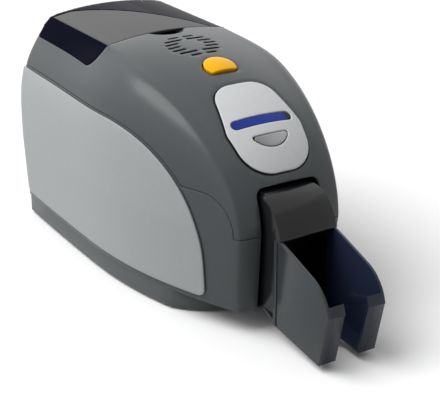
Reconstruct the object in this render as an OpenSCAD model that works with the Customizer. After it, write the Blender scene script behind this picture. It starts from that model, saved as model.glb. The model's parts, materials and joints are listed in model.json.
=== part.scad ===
// Desktop printer for plastic identity cards: a hinged top cover over a card
// path, a smoked feeder cover at the back and an output hopper at the front.
// Millimetres, +Z up, front towards -Y, origin on the table at the middle.

/* [Body] */
// Width over the dark housing at its widest
body_w = 209; // [199:1:217]
// Width between the two edge lines of the spine, at the back
spine_w = 135; // [127:1:143]
// Width between the two edge lines at the nose
nose_w = 108; // [102:1:114]
// Length of the straight body behind the brow
rear_len = 148; // [144:1:160]
// Length of the curved nose in front of the brow
nose_len = 225; // [218:1:235]
// Height of the seam under the nose of the top cover
belt_z = 97; // [92:1:102]
// Rise of the nose curve above that seam
nose_rise = 128; // [122:1:134]
// Crown of the spine across its width, at the brow
crown = 6.5; // [5:0.5:8]
// Crown of the spine half way down the nose
crown_mid = 9.5; // [7:0.5:11]
// Fullness of the shoulders at the nose, smaller is fuller
shoulder_front = 0.445; // [0.4:0.005:0.6]
// Fullness of the shoulders at the back
shoulder_rear = 1.527; // [1.2:0.001:1.7]
// Taper of the sides below the seam, for each millimetre
taper = 0.048; // [0.03:0.002:0.06]
// How far the front face leans back below the seam
front_lean = 6; // [3:1:10]
// How far the rear face leans forward at the top
rear_lean = 6; // [3:1:9]
// Wall of the moulded shells
wall = 2.4; // [2:0.2:3]

/* [Base] */
// Radius of the base pan's rounded front
pan_r = 99.5; // [94:0.5:103]
// Step of the base pan inside the housing's sides
pan_step = 0.5; // [0.3:0.1:2]
// Height of the base pan's rim above the table
base_z = 22; // [18:1:26]
// Height of the rubber feet below the pan
foot_h = 3; // [2:0.5:5]
// Radius of a rubber foot
foot_r = 9; // [6:1:12]

/* [Side panels] */
// Height of the panels' top edge
panel_top = 173; // [168:1:177]
// Height of the panels' bottom edge
panel_bottom = 28; // [25:1:34]
// Radius of the big front curve of a panel
panel_r = 112.7; // [108:0.1:118]
// How far a panel stands proud of the housing
panel_proud = 2.5; // [1.5:0.5:4]
// Shadow gap between a panel and the top cover
panel_gap = 1.5; // [1:0.5:2.5]

/* [Top cover] */
// Seam between the cover and what it meets
seam = 0.5; // [0.4:0.1:1]
// Height of the side seam in front of the panels
shoulder_top = 133.8; // [130:0.1:137]
// Radius of the seam's turn down to the nose
shoulder_r = 36; // [30:1:40]
// Angle that the cover opens to
cover_open = 75; // [60:1:80]

/* [Feeder cover] */
// Height of the smoked cover's lower edge
window_z = 204; // [200:1:208]
// Radius of its lower front corner
window_r = 17; // [12:1:20]
// Radius of the grey plate's curved edge in plan
plate_r = 238; // [230:1:250]
// Thickness of the grey plate
plate_t = 1.6; // [1.2:0.2:2]

/* [Display] */
// Height of the display panel along the slope
panel_h = 100; // [90:1:106]
// Width of the display panel at its widest
panel_w = 80; // [76:1:86]
// Length of the display window
lens_l = 65; // [56:1:68]
// Height of the display window
lens_h = 9.3; // [8:0.1:12]
// Radius of the half-moon panel button
moon_r = 22; // [20:1:25]
// Height of the half-moon panel button
moon_h = 12; // [10:0.5:14]
// Travel of the panel button
moon_travel = 1; // [0.6:0.1:1.4]

/* [Release button] */
// Width of the release button
release_w = 34; // [30:1:38]
// Travel of the release button
release_travel = 3; // [2:0.5:4]

/* [Vents] */
// Outer radius of the ring of vents
vent_r = 27; // [24:1:29]
// Radius of the plain centre
vent_core = 13; // [11:1:15]
// Distance between two rows of vents
vent_pitch = 7.6; // [7:0.2:8.4]
// Width of one vent
vent_w = 3.2; // [2.4:0.2:3.6]

/* [Output hopper] */
// Reach of the hopper's lip in front of the brow
hopper_reach = 328; // [322:1:336]
// Wall of the hopper and its hood
hopper_wall = 2.6; // [2.2:0.2:3]
// Depth of the hopper in front of its flange
bin_len = 80; // [76:1:84]
// Height of the hopper's lip above the table
lip_top = 56; // [50:1:62]
// Width of the finger slot between the lips
finger_w = 25; // [20:1:28]
// Radius of the hood's roof
hood_r = 44; // [40:1:46]

/* [Cards] */
// Length of a card
card_l = 85.6; // [85.4:0.1:86]
// Width of a card
card_w = 54; // [53.8:0.1:54.4]
// Play beside a card in the tray and the hopper
card_play = 1; // [0.6:0.1:1.4]
// Height of the card path
path_z = 120; // [116:1:122]

/* [Rollers] */
// Radius of a roller's rubber
roller_r = 8; // [7:0.5:9]
// Radius of a roller's shaft
shaft_r = 3; // [2.5:0.5:3.5]
// Radial clearance of a shaft in its bore
run_gap = 0.05; // [0.03:0.01:0.1]
// Radius of the belt pulleys on the rollers
pulley_r = 7.6; // [6.6:0.2:8]
// Radius of the motor's pulley
motor_pulley_r = 5; // [4:0.5:6]
// Radius of the driven pulley of the motor belt
driven_r = 12; // [10:1:14]
// Thickness of the belts
belt_t = 1.4; // [1:0.2:1.8]
// Radius of the cleaning roller
clean_r = 7; // [6:0.5:8]

/* [Ribbon] */
// Radius of a full ribbon roll
supply_r = 16; // [14:1:18]
// Radius of the wound-up ribbon
takeup_r = 10; // [9:1:12]
// Radius of the spool cores
core_r = 6.5; // [6:0.5:8]
// Radius of the spool journals
journal_r = 4; // [3.5:0.5:4.5]

/* [Chassis] */
// Distance from the middle to the inner face of a side plate
plate_in = 34; // [33:0.5:36]
// Thickness of the steel side plates
steel_t = 1.5; // [1.2:0.1:2]

/* [Hidden] */
$fn = 64;

// places along the body
brow_y = (hopper_reach - rear_len) / 2;
rear_y = brow_y + rear_len;
nose_y = brow_y - nose_len;
top_z = belt_z + nose_rise;
rear_r = 5;
rear_top_y = rear_face_y(top_z - rear_r);
reach = rear_len + hopper_reach;
far = 2 * reach;

// the housing below the cover seam, seen from the side
arc_y = brow_y - 75;
arc_z = panel_top - panel_r;
split_z = panel_top + panel_gap;
shoulder_y = nose_y + 42;

// leaf hinges on the rear face
lean = atan(rear_lean / top_z);
leaf_t = 1.4;
knuckle_r = 2.3;
knuckle_out = 1.7;
knuckle_l = 9;
pin_r = 1.2;
cover_hinge_x = 62;
feeder_hinge_x = 46;
feeder_y = brow_y + 2;

// card path
tray_front_y = 132;
tray_len = card_l + 2 * card_play;
feed_y = 176;
transport_y = 100;
platen_y = 20;
exit_y = -72;
axle_z = path_z - roller_r;
sleeve_half = card_w / 2;
belt_x = plate_in + steel_t + 3;
strap_w = 5;
motor_y = 62;
motor_z = 62;
motor_x = belt_x + strap_w + 3;
supply_y = 62;
takeup_y = -32;
spool_z = 152;
clean_z = path_z + 0.8 + clean_r;
film_t = 0.3;
plate_out = plate_in + steel_t;
chassis_back = rear_y - 16;

latch_y = -14;
latch_z = 196;
latch_x = 40;

// slope frames on the middle line of the spine, u is the share of the nose
function crown_at(u) = crown + (crown_mid - crown) * pow(2 * u * sqrt(1 - u * u), 2);
function nose_point(u) = let(a = acos(u), n = nose_normal(a))
    [brow_y - nose_len * u, belt_z + nose_rise * sin(a)] + crown_at(u) * n;
function slope_tilt(u) = let(d = nose_point(u - 0.02) - nose_point(u + 0.02)) atan2(d[1], d[0]);
display_u = 0.765;
release_u = 0.405;
vent_u = 0.215;
display_tilt = slope_tilt(display_u);
release_tilt = slope_tilt(release_u);
vent_tilt = slope_tilt(vent_u);
slope_r = 170;
cross_r = pow(edge_w(brow_y - nose_len * display_u), 2) / (2 * crown_at(display_u));
release_stem = crown_at(release_u) + 15.7;

module at_slope(u, tilt) {
    p = nose_point(u);
    translate([0, p[0], p[1]]) rotate([tilt, 0, 0]) children();
}

// outer form of the whole machine ------------------------------------------

function slant(z) = front_lean * max(0, belt_z - z) / belt_z;
function rear_face_y(z) = rear_y - rear_lean * z / (belt_z + nose_rise);
function edge_w(y) = y > brow_y ? spine_w / 2
    : spine_w / 2 - (spine_w - nose_w) / 2 * (brow_y - y) / nose_len;
function belt_w(y) = body_w / 2
    - pow(max(0, brow_y - 13.5 - y), 2) / 1069
    - pow(max(0, y - brow_y - 20), 2) / 7518;
function fullness(y) = let(t = min(1, max(0, (y - brow_y + 90) / 178)))
    blend(shoulder_front, shoulder_rear, t * t * (3 - 2 * t));
function reach2(y, z) = pow(max(0, (brow_y - y + slant(z)) / nose_len), 2)
    + pow(max(0, (z - belt_z) / nose_rise), 2);
function half_w(y, z) = let(f = min(1, reach2(y, z)), e = edge_w(y))
    e + (belt_w(y) - e) * pow(1 - f * f, fullness(y)) - taper * max(0, belt_z - z);
function blend(a, b, t) = a + (b - a) * t;
function nose_normal(a) = let(v = [-cos(a) / nose_len, sin(a) / nose_rise]) v / norm(v);

// one entry for each station round the side view: y, z, normal y, normal z, crown
nose_steps = 14;
rear_steps = 5;
function stations(low) = concat(
    [for (i = [0:2]) let(z = blend(low, belt_z, i / 3))
        [nose_y + slant(z), z, -1, 0, crown]],
    [for (i = [0:nose_steps]) let(a = 90 * i / nose_steps, n = nose_normal(a))
        [brow_y - nose_len * cos(a), belt_z + nose_rise * sin(a), n[0], n[1], crown_at(cos(a))]],
    [for (i = [1:3]) [blend(brow_y, rear_top_y - rear_r, i / 3), top_z, 0, 1, crown]],
    [for (a = [30, 60, 90]) [rear_top_y + rear_r * (sin(a) - 1),
        top_z + rear_r * (cos(a) - 1), sin(a), cos(a), crown * cos(a)]],
    [for (i = [1:rear_steps]) let(z = blend(top_z - rear_r, low, pow(i / rear_steps, 1.3)))
        [rear_face_y(z), z, 1, 0, 0]],
    [for (i = [1:3]) [blend(rear_face_y(low), nose_y + slant(low), i / 4), low, 0, 0, 0]]);

rings = [0.55, 0.8, 0.92, 0.97, 0.993, 1];
columns = [-0.68, -0.35, 0, 0.35, 0.68];
function side_point(s, t, grow, side) =
    let(y = blend(brow_y, s[0], t), z = blend(belt_z, s[1], t))
    [side * (half_w(y, z) + grow), y + t * grow * s[2], z + t * grow * s[3]];
function spine_point(s, c, grow) = let(out = grow + s[4] * (1 - c * c))
    [c * (half_w(s[0], s[1]) + grow), s[0] + out * s[2], s[1] + out * s[3]];

// the outer form, grown or shrunk by grow, with its flat underside at low
module form(grow = 0, low = base_z) {
    st = stations(low);
    n = len(st);
    middle = half_w(brow_y, belt_z) + grow;
    loops = concat(
        [for (t = rings) [for (s = st) side_point(s, t, grow, -1)]],
        [for (c = columns) [for (s = st) spine_point(s, c, grow)]],
        [for (k = [len(rings) - 1:-1:0]) [for (s = st) side_point(s, rings[k], grow, 1)]]);
    count = len(loops);
    points = concat([[-middle, brow_y, belt_z]], [for (l = loops) each l],
        [[middle, brow_y, belt_z]]);
    last = count * n + 1;
    faces = concat(
        [for (i = [0:n - 1]) [0, 1 + (i + 1) % n, 1 + i]],
        [for (k = [0:count - 2]) for (i = [0:n - 1])
            let(a = 1 + k * n + i, b = 1 + k * n + (i + 1) % n)
            each k < (count - 1) / 2 ? [[a, b, a + n], [b, b + n, a + n]] : [[a, b, b + n], [a, b + n, a + n]]],
        [for (i = [0:n - 1]) let(a = 1 + (count - 1) * n) [last, a + i, a + (i + 1) % n]]);
    polyhedron(points, faces, convexity = 6);
}

module skin(outer, inner, low = base_z, low_in = base_z - 6) {
    difference() {
        form(outer, low);
        form(inner, low_in);
    }
}

// extrudes a side view, drawn in y and z, across the machine
module across(w) {
    rotate([90, 0, 90]) linear_extrude(w, center = true) children();
}

module rod(y, z, r, x0, x1) {
    translate([x0, y, z]) rotate([0, 90, 0]) cylinder(r = r, h = x1 - x0);
}

module block(x0, x1, y0, y1, z0, z1) {
    translate([x0, y0, z0]) cube([x1 - x0, y1 - y0, z1 - z0]);
}

// side view of everything below the top cover's seam
module housing_side(g = 0) {
    translate([-reach, -far]) square([2 * reach, far + belt_z + g]);
    translate([shoulder_y, shoulder_top - shoulder_r]) circle(r = shoulder_r + g);
    translate([shoulder_y, 0]) square([arc_y - shoulder_y, shoulder_top + g]);
    translate([arc_y, arc_z]) circle(r = panel_r + panel_gap + g, $fn = 128);
    translate([arc_y, 0]) square([reach, split_z + g]);
}

// side view of the smoked feeder cover
module feeder_side(g = 0) {
    translate([feeder_y + window_r, window_z - g]) square([reach, far]);
    translate([feeder_y - g, window_z + window_r]) square([reach, far]);
    translate([feeder_y + window_r, window_z + window_r]) circle(r = window_r + g);
}

// base ------------------------------------------------------------------------

floor_z = foot_h + 3;
nose_floor = base_z + wall + 0.3;
pan_turn_y = brow_y - 86;
pan_rows = 12;

// the pan follows the sides of the housing and has a rounded front
module pan_plan(inset) {
    front_y = pan_turn_y - pan_r;
    side = [for (i = [0:pan_rows]) let(y = blend(front_y, rear_y, i / pan_rows))
        [half_w(y, base_z) - pan_step - inset, y]];
    intersection() {
        union() {
            translate([0, pan_turn_y]) circle(r = pan_r - inset, $fn = 128);
            translate([-far, pan_turn_y]) square([2 * far, rear_y - 2 - inset - pan_turn_y]);
        }
        polygon(concat(side, [for (i = [pan_rows:-1:0]) [-side[i][0], side[i][1]]]));
    }
}

foot_spots = [for (x = [-1, 1]) for (y = [pan_turn_y - 26, rear_y - 28]) [x * (body_w / 2 - 36.5), y]];
screw_spots = [for (x = [-1, 1]) for (y = [pan_turn_y + 24, rear_y - 60]) [x * (body_w / 2 - 23.5), y]];
screw_r = 1.5;
boss_r = 4;

module base_pan() {
    color("dimgray") difference() {
        union() {
            difference() {
                translate([0, 0, foot_h]) linear_extrude(base_z - foot_h) pan_plan(0);
                translate([0, 0, floor_z]) linear_extrude(base_z) pan_plan(wall);
            }
            for (p = screw_spots) translate([p[0], p[1], floor_z - 1])
                cylinder(r = boss_r, h = base_z - floor_z + 1 - 0.3);
        }
        for (p = foot_spots) translate([p[0], p[1], 0]) cylinder(r = foot_r + 0.05, h = foot_h + 1);
        for (p = screw_spots) {
            translate([p[0], p[1], -1]) cylinder(r = screw_r + run_gap, h = base_z + 2);
            translate([p[0], p[1], -1]) cylinder(r = 3.2, h = foot_h + 3);
        }
        for (i = [-4:4]) block(-30, 30, brow_y + i * 9, brow_y + i * 9 + 3, 0, floor_z + 1);
    }
}

module rubber_feet() {
    color("black") for (p = foot_spots) translate([p[0], p[1], 0]) {
        cylinder(r1 = foot_r - 1.5, r2 = foot_r, h = 1.5);
        translate([0, 0, 1.5]) cylinder(r = foot_r, h = foot_h - 0.5);
    }
}

module base_screws() {
    color("silver") for (p = screw_spots) translate([p[0], p[1], foot_h]) {
        difference() {
            cylinder(r = 3, h = 2);
            translate([0, 0, -1]) cylinder(r = 1.2, h = 2, $fn = 6);
        }
        cylinder(r = screw_r, h = base_z + 6 - foot_h);
    }
}

// housing ----------------------------------------------------------------------

bin_half = card_w / 2 + card_play + hopper_wall + 0.4;
hood_half = bin_half - 0.3;
opening_top = 140.5;
mouth_gap = 3.7;
opening_bottom = base_z + wall + 0.2;
inlet_x = 78;
usb_x = 62;
network_x = 45;
switch_x = -66;
port_z = 41;
switch_y = rear_y - 10.5;

module mouth_cut() {
    translate([0, nose_y + 70, 0]) rotate([90, 0, 0]) linear_extrude(110) mouth_outline(mouth_gap);
}

// front view of the hood, grown by g
module mouth_outline(g) {
    r = 8;
    hw = hood_half + g;
    top = opening_top - mouth_gap + g;
    translate([-hw, opening_bottom]) square([2 * hw, top - r - opening_bottom]);
    translate([-hw + r, opening_bottom]) square([2 * (hw - r), top - opening_bottom]);
    for (s = [-1, 1]) translate([s * (hw - r), top - r]) circle(r = r);
}

module main_housing() {
    color("dimgray") difference() {
        intersection() {
            form(0);
            across(far) housing_side(0);
        }
        form(-wall, base_z + wall);
        translate([0, 0, base_z - 1]) linear_extrude(wall + 2) pan_plan(wall + 1.2);
        mouth_cut();
        hinge_notches(split_z, cover_hinge_x);
        block(inlet_x - 7.3, inlet_x + 7.3, rear_y - 20, far, port_z - 5.8, port_z + 5.8);
        block(usb_x - 6.3, usb_x + 6.3, rear_y - 20, far, port_z - 5.8, port_z + 5.8);
        block(network_x - 8.3, network_x + 8.3, rear_y - 20, far, port_z - 5.8, port_z + 8.3);
        block(switch_x - 7.4, switch_x + 7.4, rear_y - 20, far, port_z - 10.8, port_z + 10.8);
        for (i = [0:5]) block(-30, 30, rear_y - 20, far, 70 + i * 9, 73 + i * 9);
    }
}

module panel_side() {
    r = 8;
    front_y = arc_y - panel_r;
    back_y = rear_face_y(panel_top) - 0.3;
    translate([arc_y, arc_z]) circle(r = panel_r, $fn = 128);
    translate([arc_y, arc_z]) square([back_y - arc_y, panel_r]);
    translate([front_y, panel_bottom + r]) square([back_y - front_y, arc_z - panel_bottom - r + 0.01]);
    translate([front_y + r, panel_bottom]) square([back_y - front_y - 2 * r, arc_z - panel_bottom]);
    translate([front_y + r, panel_bottom + r]) circle(r = r);
    translate([back_y - r, panel_bottom + r]) circle(r = r);
}

module side_panel(side) {
    color("silver") intersection() {
        skin(panel_proud, 0.3, base_z, base_z);
        translate([side * far / 2, 0, 0]) across(far) intersection() {
            panel_side();
            translate([-far, panel_bottom]) square([2 * far, far]);
        }
    }
}

module side_panel_left() { side_panel(-1); }
module side_panel_right() { side_panel(1); }

// chassis and card path ----------------------------------------------------------

module chassis_side() {
    difference() {
        union() {
            translate([exit_y - 34, nose_floor]) square([chassis_back - exit_y + 34, path_z + 14 - nose_floor]);
            translate([pan_turn_y - 80, floor_z]) square([chassis_back - pan_turn_y + 80, 30]);
            translate([tray_front_y - 6, floor_z]) square([chassis_back - tray_front_y + 6, 168 - floor_z]);
            for (y = [supply_y, takeup_y]) translate([y - 11, floor_z + 40]) square([22, spool_z + 2 - floor_z - 40]);
            for (y = [supply_y, takeup_y]) translate([y, spool_z + 2]) circle(r = 11);
        }
        for (y = [feed_y, transport_y, platen_y, exit_y])
            translate([y, axle_z]) circle(r = shaft_r + run_gap);
        translate([transport_y, clean_z]) circle(r = 2.5 + run_gap);
        for (y = [supply_y, takeup_y]) {
            translate([y, spool_z]) circle(r = journal_r + run_gap);
            translate([y - journal_r - run_gap, spool_z]) square([2 * (journal_r + run_gap), 30]);
        }
        for (y = [-62:36:200]) translate([y, 40]) circle(r = 8);
        translate([motor_y, motor_z]) circle(r = 11.2);
    }
}

module chassis_plate(side) {
    color("lightsteelblue") {
        translate([side * (plate_in + steel_t / 2), 0, 0]) across(steel_t) chassis_side();
        for (y = [-40, 200]) block(side * (plate_out + 5.5) - 6, side * (plate_out + 5.5) + 6,
            y - 8, y + 8, floor_z, floor_z + steel_t);
        block(side * (plate_out + 3) - 3.5, side * (plate_out + 3) + 3.5, latch_y + 9.4, latch_y + 15,
            path_z + 9, path_z + 12.5);
    }
}

module chassis_left() { chassis_plate(-1); }
module chassis_right() { chassis_plate(1); }

module card_deck() {
    deck_z = path_z - 0.8;
    color("darkslategray") difference() {
        union() {
            block(-plate_in + 0.3, plate_in - 0.3, exit_y - 30, tray_front_y - 2.3, deck_z - 3, deck_z);
            for (s = [-1, 1]) block(s * (plate_in - 2.3) - 2, s * (plate_in - 2.3) + 2,
                exit_y - 30, tray_front_y - 2.3, deck_z - 3, path_z + 2);
        }
        for (y = [transport_y, platen_y, exit_y])
            block(-sleeve_half - 1, sleeve_half + 1, y - roller_r - 1.5, y + roller_r + 1.5, deck_z - 9, deck_z + 5);
    }
}

module feeder_tray() {
    hw = card_w / 2 + card_play;
    back = tray_front_y + tray_len;
    color("darkslategray") difference() {
        block(-hw - 2, hw + 2, tray_front_y - 2, back + 2, path_z - 3, 190);
        block(-hw, hw, tray_front_y, back, path_z, 200);
        block(-hw, hw, tray_front_y - 5, tray_front_y + 1, path_z, path_z + 1.4);
        block(-sleeve_half - 1, sleeve_half + 1, feed_y - roller_r - 1.5, feed_y + roller_r + 1.5, 100, path_z + 1);
        block(-14, 14, tray_front_y - 5, tray_front_y + 1, 165, 200);
    }
    color("darkslategray") for (s = [-1, 1])
        block(s * (hw + plate_in + 1.8) / 2 - (plate_in - hw - 1.8) / 2, s * (hw + plate_in + 1.8) / 2 + (plate_in - hw - 1.8) / 2,
            tray_front_y + 10, back - 10, path_z - 3, path_z + 3);
}

module belt_loop(p, q, r, x) {
    d = q - p;
    turn = atan2(d[1], d[0]);
    translate([x, p[0], p[1]]) rotate([turn, 0, 0]) rotate([90, 0, 90]) linear_extrude(strap_w) difference() {
        union() {
            circle(r = r + belt_t);
            translate([norm(d), 0]) circle(r = r + belt_t);
            translate([0, -r - belt_t]) square([norm(d), 2 * (r + belt_t)]);
        }
        union() {
            circle(r = r);
            translate([norm(d), 0]) circle(r = r);
            translate([0, -r]) square([norm(d), 2 * r]);
        }
    }
}

module transport_belt() {
    color("black") belt_loop([exit_y, axle_z], [feed_y, axle_z], pulley_r + 0.15, -belt_x - strap_w);
}

// the motor belt runs between a small and a large pulley
module motor_belt_outline(g) {
    hull() {
        circle(r = motor_pulley_r + 0.15 + g);
        translate([transport_y - motor_y, axle_z - motor_z]) circle(r = driven_r + 0.15 + g);
    }
}

module motor_belt() {
    color("black") translate([-motor_x - strap_w, motor_y, motor_z]) rotate([90, 0, 90])
        linear_extrude(strap_w) difference() {
            motor_belt_outline(belt_t);
            motor_belt_outline(0);
        }
}

module drive_motor() {
    color("gray") difference() {
        union() {
            block(-plate_in + 0.3, -plate_in + 34, motor_y - 21, motor_y + 21, motor_z - 21, motor_z + 21);
            rod(motor_y, motor_z, 11, -plate_in - 1.2, -plate_in + 2);
        }
        rod(motor_y, motor_z, 2.5 + run_gap, -plate_in - 3, -plate_in + 26);
    }
}

module motor_pulley() {
    color("silver") {
        rod(motor_y, motor_z, 2.5, -motor_x - strap_w - 1, -plate_in + 24);
        rod(motor_y, motor_z, motor_pulley_r, -motor_x - strap_w - 0.2, -motor_x + 0.2);
    }
}

module roller_shaft(y) {
    color("silver") {
        rod(y, axle_z, shaft_r, -belt_x - strap_w - 0.8, plate_out + 3);
        rod(y, axle_z, pulley_r, -belt_x - strap_w + 0.3, -belt_x - 0.3);
        rod(y, axle_z, shaft_r + 1.5, -belt_x + 0.3, -plate_out - 0.3);
        rod(y, axle_z, shaft_r + 1.5, plate_out + 0.5, plate_out + 2);
    }
}

module roller_sleeve(y) {
    color("black") difference() {
        rod(y, axle_z, roller_r, -sleeve_half, sleeve_half);
        rod(y, axle_z, shaft_r, -sleeve_half - 1, sleeve_half + 1);
    }
}

module feed_shaft() { roller_shaft(feed_y); }
module feed_sleeve() { roller_sleeve(feed_y); }
module platen_shaft() { roller_shaft(platen_y); }
module platen_sleeve() { roller_sleeve(platen_y); }
module exit_shaft() { roller_shaft(exit_y); }
module exit_sleeve() { roller_sleeve(exit_y); }
module transport_sleeve() { roller_sleeve(transport_y); }

module transport_shaft() {
    roller_shaft(transport_y);
    color("silver") {
        rod(transport_y, axle_z, shaft_r, -motor_x - strap_w - 1, -belt_x - strap_w);
        rod(transport_y, axle_z, driven_r, -motor_x - strap_w - 0.2, -motor_x + 0.2);
    }
}

module cleaning_shaft() {
    color("silver") rod(transport_y, clean_z, 2.5, -plate_out - 3, plate_out + 3);
}

module cleaning_sleeve() {
    color("mediumblue") difference() {
        rod(transport_y, clean_z, clean_r, -sleeve_half, sleeve_half);
        rod(transport_y, clean_z, 2.5, -sleeve_half - 1, sleeve_half + 1);
    }
}

// ribbon ---------------------------------------------------------------------------

module spool(y, flange) {
    color("whitesmoke") {
        rod(y, spool_z, journal_r, -plate_out - 2, plate_out + 2);
        rod(y, spool_z, core_r, -plate_in + 1, plate_in - 1);
        for (s = [-1, 1]) rod(y, spool_z, flange, s * (sleeve_half + 3) - 1, s * (sleeve_half + 3) + 1);
    }
}

module wound(y, r) {
    difference() {
        rod(y, spool_z, r, -sleeve_half - 1, sleeve_half + 1);
        rod(y, spool_z, core_r, -sleeve_half - 2, sleeve_half + 2);
    }
}

module supply_spool() { spool(supply_y, supply_r + 2); }
module supply_roll() { color("purple") wound(supply_y, supply_r); }
module takeup_spool() { spool(takeup_y, takeup_r + 2); }
module takeup_roll() { color("indigo") wound(takeup_y, takeup_r); }

// where a straight run from point p touches a roll round c
function touch(p, c, r, side) = let(d = p - c, a = atan2(d[1], d[0]) + side * acos(r / norm(d)))
    c + r * [cos(a), sin(a)];

module ribbon_film() {
    head_in = [platen_y + 5.5, path_z + 1];
    head_out = [platen_y - 5.5, path_z + 1];
    run = [touch(head_in, [supply_y, spool_z], supply_r + 0.3, -1), head_in, head_out,
        touch(head_out, [takeup_y, spool_z], takeup_r + 0.3, 1)];
    color("purple") across(2 * sleeve_half) polygon(concat([for (p = run) p + [0, film_t / 2]],
        [for (i = [3:-1:0]) run[i] - [0, film_t / 2]]));
}

// electronics and rear ports ----------------------------------------------------------

board_z = port_z - 7.6;

module main_board() {
    color("darkgreen") block(plate_out + 3, 90, 108, rear_y - 8, board_z, board_z + 1.6);
    color("black") for (p = [[48, 130], [66, 128], [58, 160], [76, 176]])
        block(p[0], p[0] + 10, p[1], p[1] + 10, board_z + 1.6, board_z + 3.6);
    color("silver") for (x = [plate_out + 7, 86]) for (y = [114, rear_y - 18])
        translate([x, y, floor_z]) cylinder(r = 2.5, h = board_z - floor_z);
}

module power_inlet() {
    color("black") difference() {
        block(inlet_x - 7, inlet_x + 7, rear_y - 22, rear_y - 1.5, port_z - 5.5, port_z + 5.5);
        translate([inlet_x, rear_y - 14, port_z]) rotate([-90, 0, 0]) cylinder(r = 3.2, h = 20);
    }
    color("silver") translate([inlet_x, rear_y - 15, port_z]) rotate([-90, 0, 0]) cylinder(r = 1, h = 12);
}

module usb_port() {
    color("silver") difference() {
        block(usb_x - 6, usb_x + 6, rear_y - 18, rear_y - 1.5, port_z - 5.5, port_z + 5.5);
        block(usb_x - 4.3, usb_x + 4.3, rear_y - 12, rear_y, port_z - 4, port_z + 4);
    }
    color("white") block(usb_x - 2.8, usb_x + 2.8, rear_y - 13, rear_y - 4, port_z - 1.6, port_z + 1.6);
}

module network_port() {
    color("silver") difference() {
        block(network_x - 8, network_x + 8, rear_y - 20, rear_y - 1.5, port_z - 5.5, port_z + 8);
        block(network_x - 6, network_x + 6, rear_y - 14, rear_y, port_z - 3.5, port_z + 3.5);
        block(network_x - 3, network_x + 3, rear_y - 14, rear_y, port_z + 3, port_z + 6);
    }
}

// hinges -----------------------------------------------------------------------------

// local frame on the rear face at height z: y points out, z up the face
module at_rear(z) {
    translate([0, rear_face_y(z), z]) rotate([lean, 0, 0]) children();
}

function hinge_y(z) = rear_face_y(z) + knuckle_out * cos(lean);
function hinge_z(z) = z + knuckle_out * sin(lean);

module hinge_notches(z, x) {
    at_rear(z) for (s = [-1, 1])
        rod(knuckle_out, 0, knuckle_r + 0.4, s * x - 1.5 * knuckle_l - 0.7, s * x + 1.5 * knuckle_l + 0.7);
}

module leaf(x, side) {
    w = 1.5 * knuckle_l;
    block(x - w, x + w, 0, leaf_t, side > 0 ? knuckle_r + 0.8 : -12, side > 0 ? 12 : -knuckle_r - 0.8);
}

module knuckle(x, side) {
    rod(knuckle_out, 0, knuckle_r, x - knuckle_l / 2 + 0.2, x + knuckle_l / 2 - 0.2);
    block(x - knuckle_l / 2 + 0.2, x + knuckle_l / 2 - 0.2, 0.2, leaf_t,
        side > 0 ? 0 : -4, side > 0 ? 4 : 0);
}

// fixed leaves hold the pins, moving leaves turn on them
module fixed_leaves(z, x) {
    at_rear(z) for (s = [-1, 1]) difference() {
        union() {
            leaf(s * x, -1);
            for (k = [-1, 1]) knuckle(s * x + k * knuckle_l, -1);
        }
        rod(knuckle_out, 0, pin_r, s * x - 20, s * x + 20);
    }
}

module moving_leaves(z, x) {
    at_rear(z) for (s = [-1, 1]) difference() {
        union() {
            leaf(s * x, 1);
            knuckle(s * x, 1);
        }
        rod(knuckle_out, 0, pin_r + run_gap, s * x - 20, s * x + 20);
    }
}

module hinge_pins(z, x) {
    at_rear(z) for (s = [-1, 1])
        rod(knuckle_out, 0, pin_r, s * x - 1.5 * knuckle_l, s * x + 1.5 * knuckle_l);
}

module cover_hinge_lower() { color("gray") fixed_leaves(split_z, cover_hinge_x); }
module cover_hinge_upper() { color("gray") moving_leaves(split_z, cover_hinge_x); }
module cover_hinge_pins() { color("silver") hinge_pins(split_z, cover_hinge_x); }
module feeder_hinge_lower() { color("gray") fixed_leaves(window_z, feeder_hinge_x); }
module feeder_hinge_upper() { color("gray") moving_leaves(window_z, feeder_hinge_x); }
module feeder_hinge_pins() { color("silver") hinge_pins(window_z, feeder_hinge_x); }

module switch_body() {
    color("black") difference() {
        block(switch_x - 9, switch_x + 9, rear_y - 24, rear_y - 4, port_z - 12.5, port_z + 12.5);
        block(switch_x - 6.8, switch_x + 6.8, rear_y - 20, rear_y, port_z - 11.3, port_z + 11.3);
        rod(switch_y, port_z, pin_r + run_gap, switch_x - 20, switch_x + 20);
    }
}

module power_switch() {
    color("black") {
        translate([switch_x, switch_y, port_z]) across(13)
            polygon([[-1, -9], [8.2, -10], [7.4, 0], [9.8, 9], [-1, 9]]);
        rod(switch_y, port_z, pin_r, switch_x - 8.6, switch_x + 8.6);
    }
}

// top cover ----------------------------------------------------------------------------

module stadium(a, b, v, r) {
    translate([a, v - r]) square([b - a, 2 * r]);
    for (x = [a, b]) translate([x, v]) circle(r = r, $fn = 24);
}

module vent_slots() {
    r = vent_w / 2;
    for (k = [-3:3]) let(v = k * vent_pitch, out = sqrt(max(0, vent_r * vent_r - v * v)),
        core = abs(v) < vent_core ? sqrt(vent_core * vent_core - v * v) + r : 2.4 + r)
        for (s = [-1, 1]) let(a = core, b = max(out - r, core + 2))
            stadium(s > 0 ? a : -b, s > 0 ? b : -a, v, r);
}

// rounded shield of the display panel, grown by g
module display_outline(g) {
    h = panel_h / 2 + g;
    w = panel_w / 2 + g;
    hull() for (s = [-1, 1]) {
        translate([s * (w - 22), h - 16]) circle(r = 16);
        translate([s * (w - 16), -0.12 * h]) circle(r = 16);
        translate([s * (w - 32), 30 - h]) circle(r = 30);
    }
}

release_v = -8.7;
release_low = -20;
release_dome = 56;

module release_outline(g) {
    w = release_w / 2 + g;
    intersection() {
        translate([0, release_v]) circle(r = w);
        translate([-w, release_low - g]) square([2 * w, 40]);
    }
}

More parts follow.
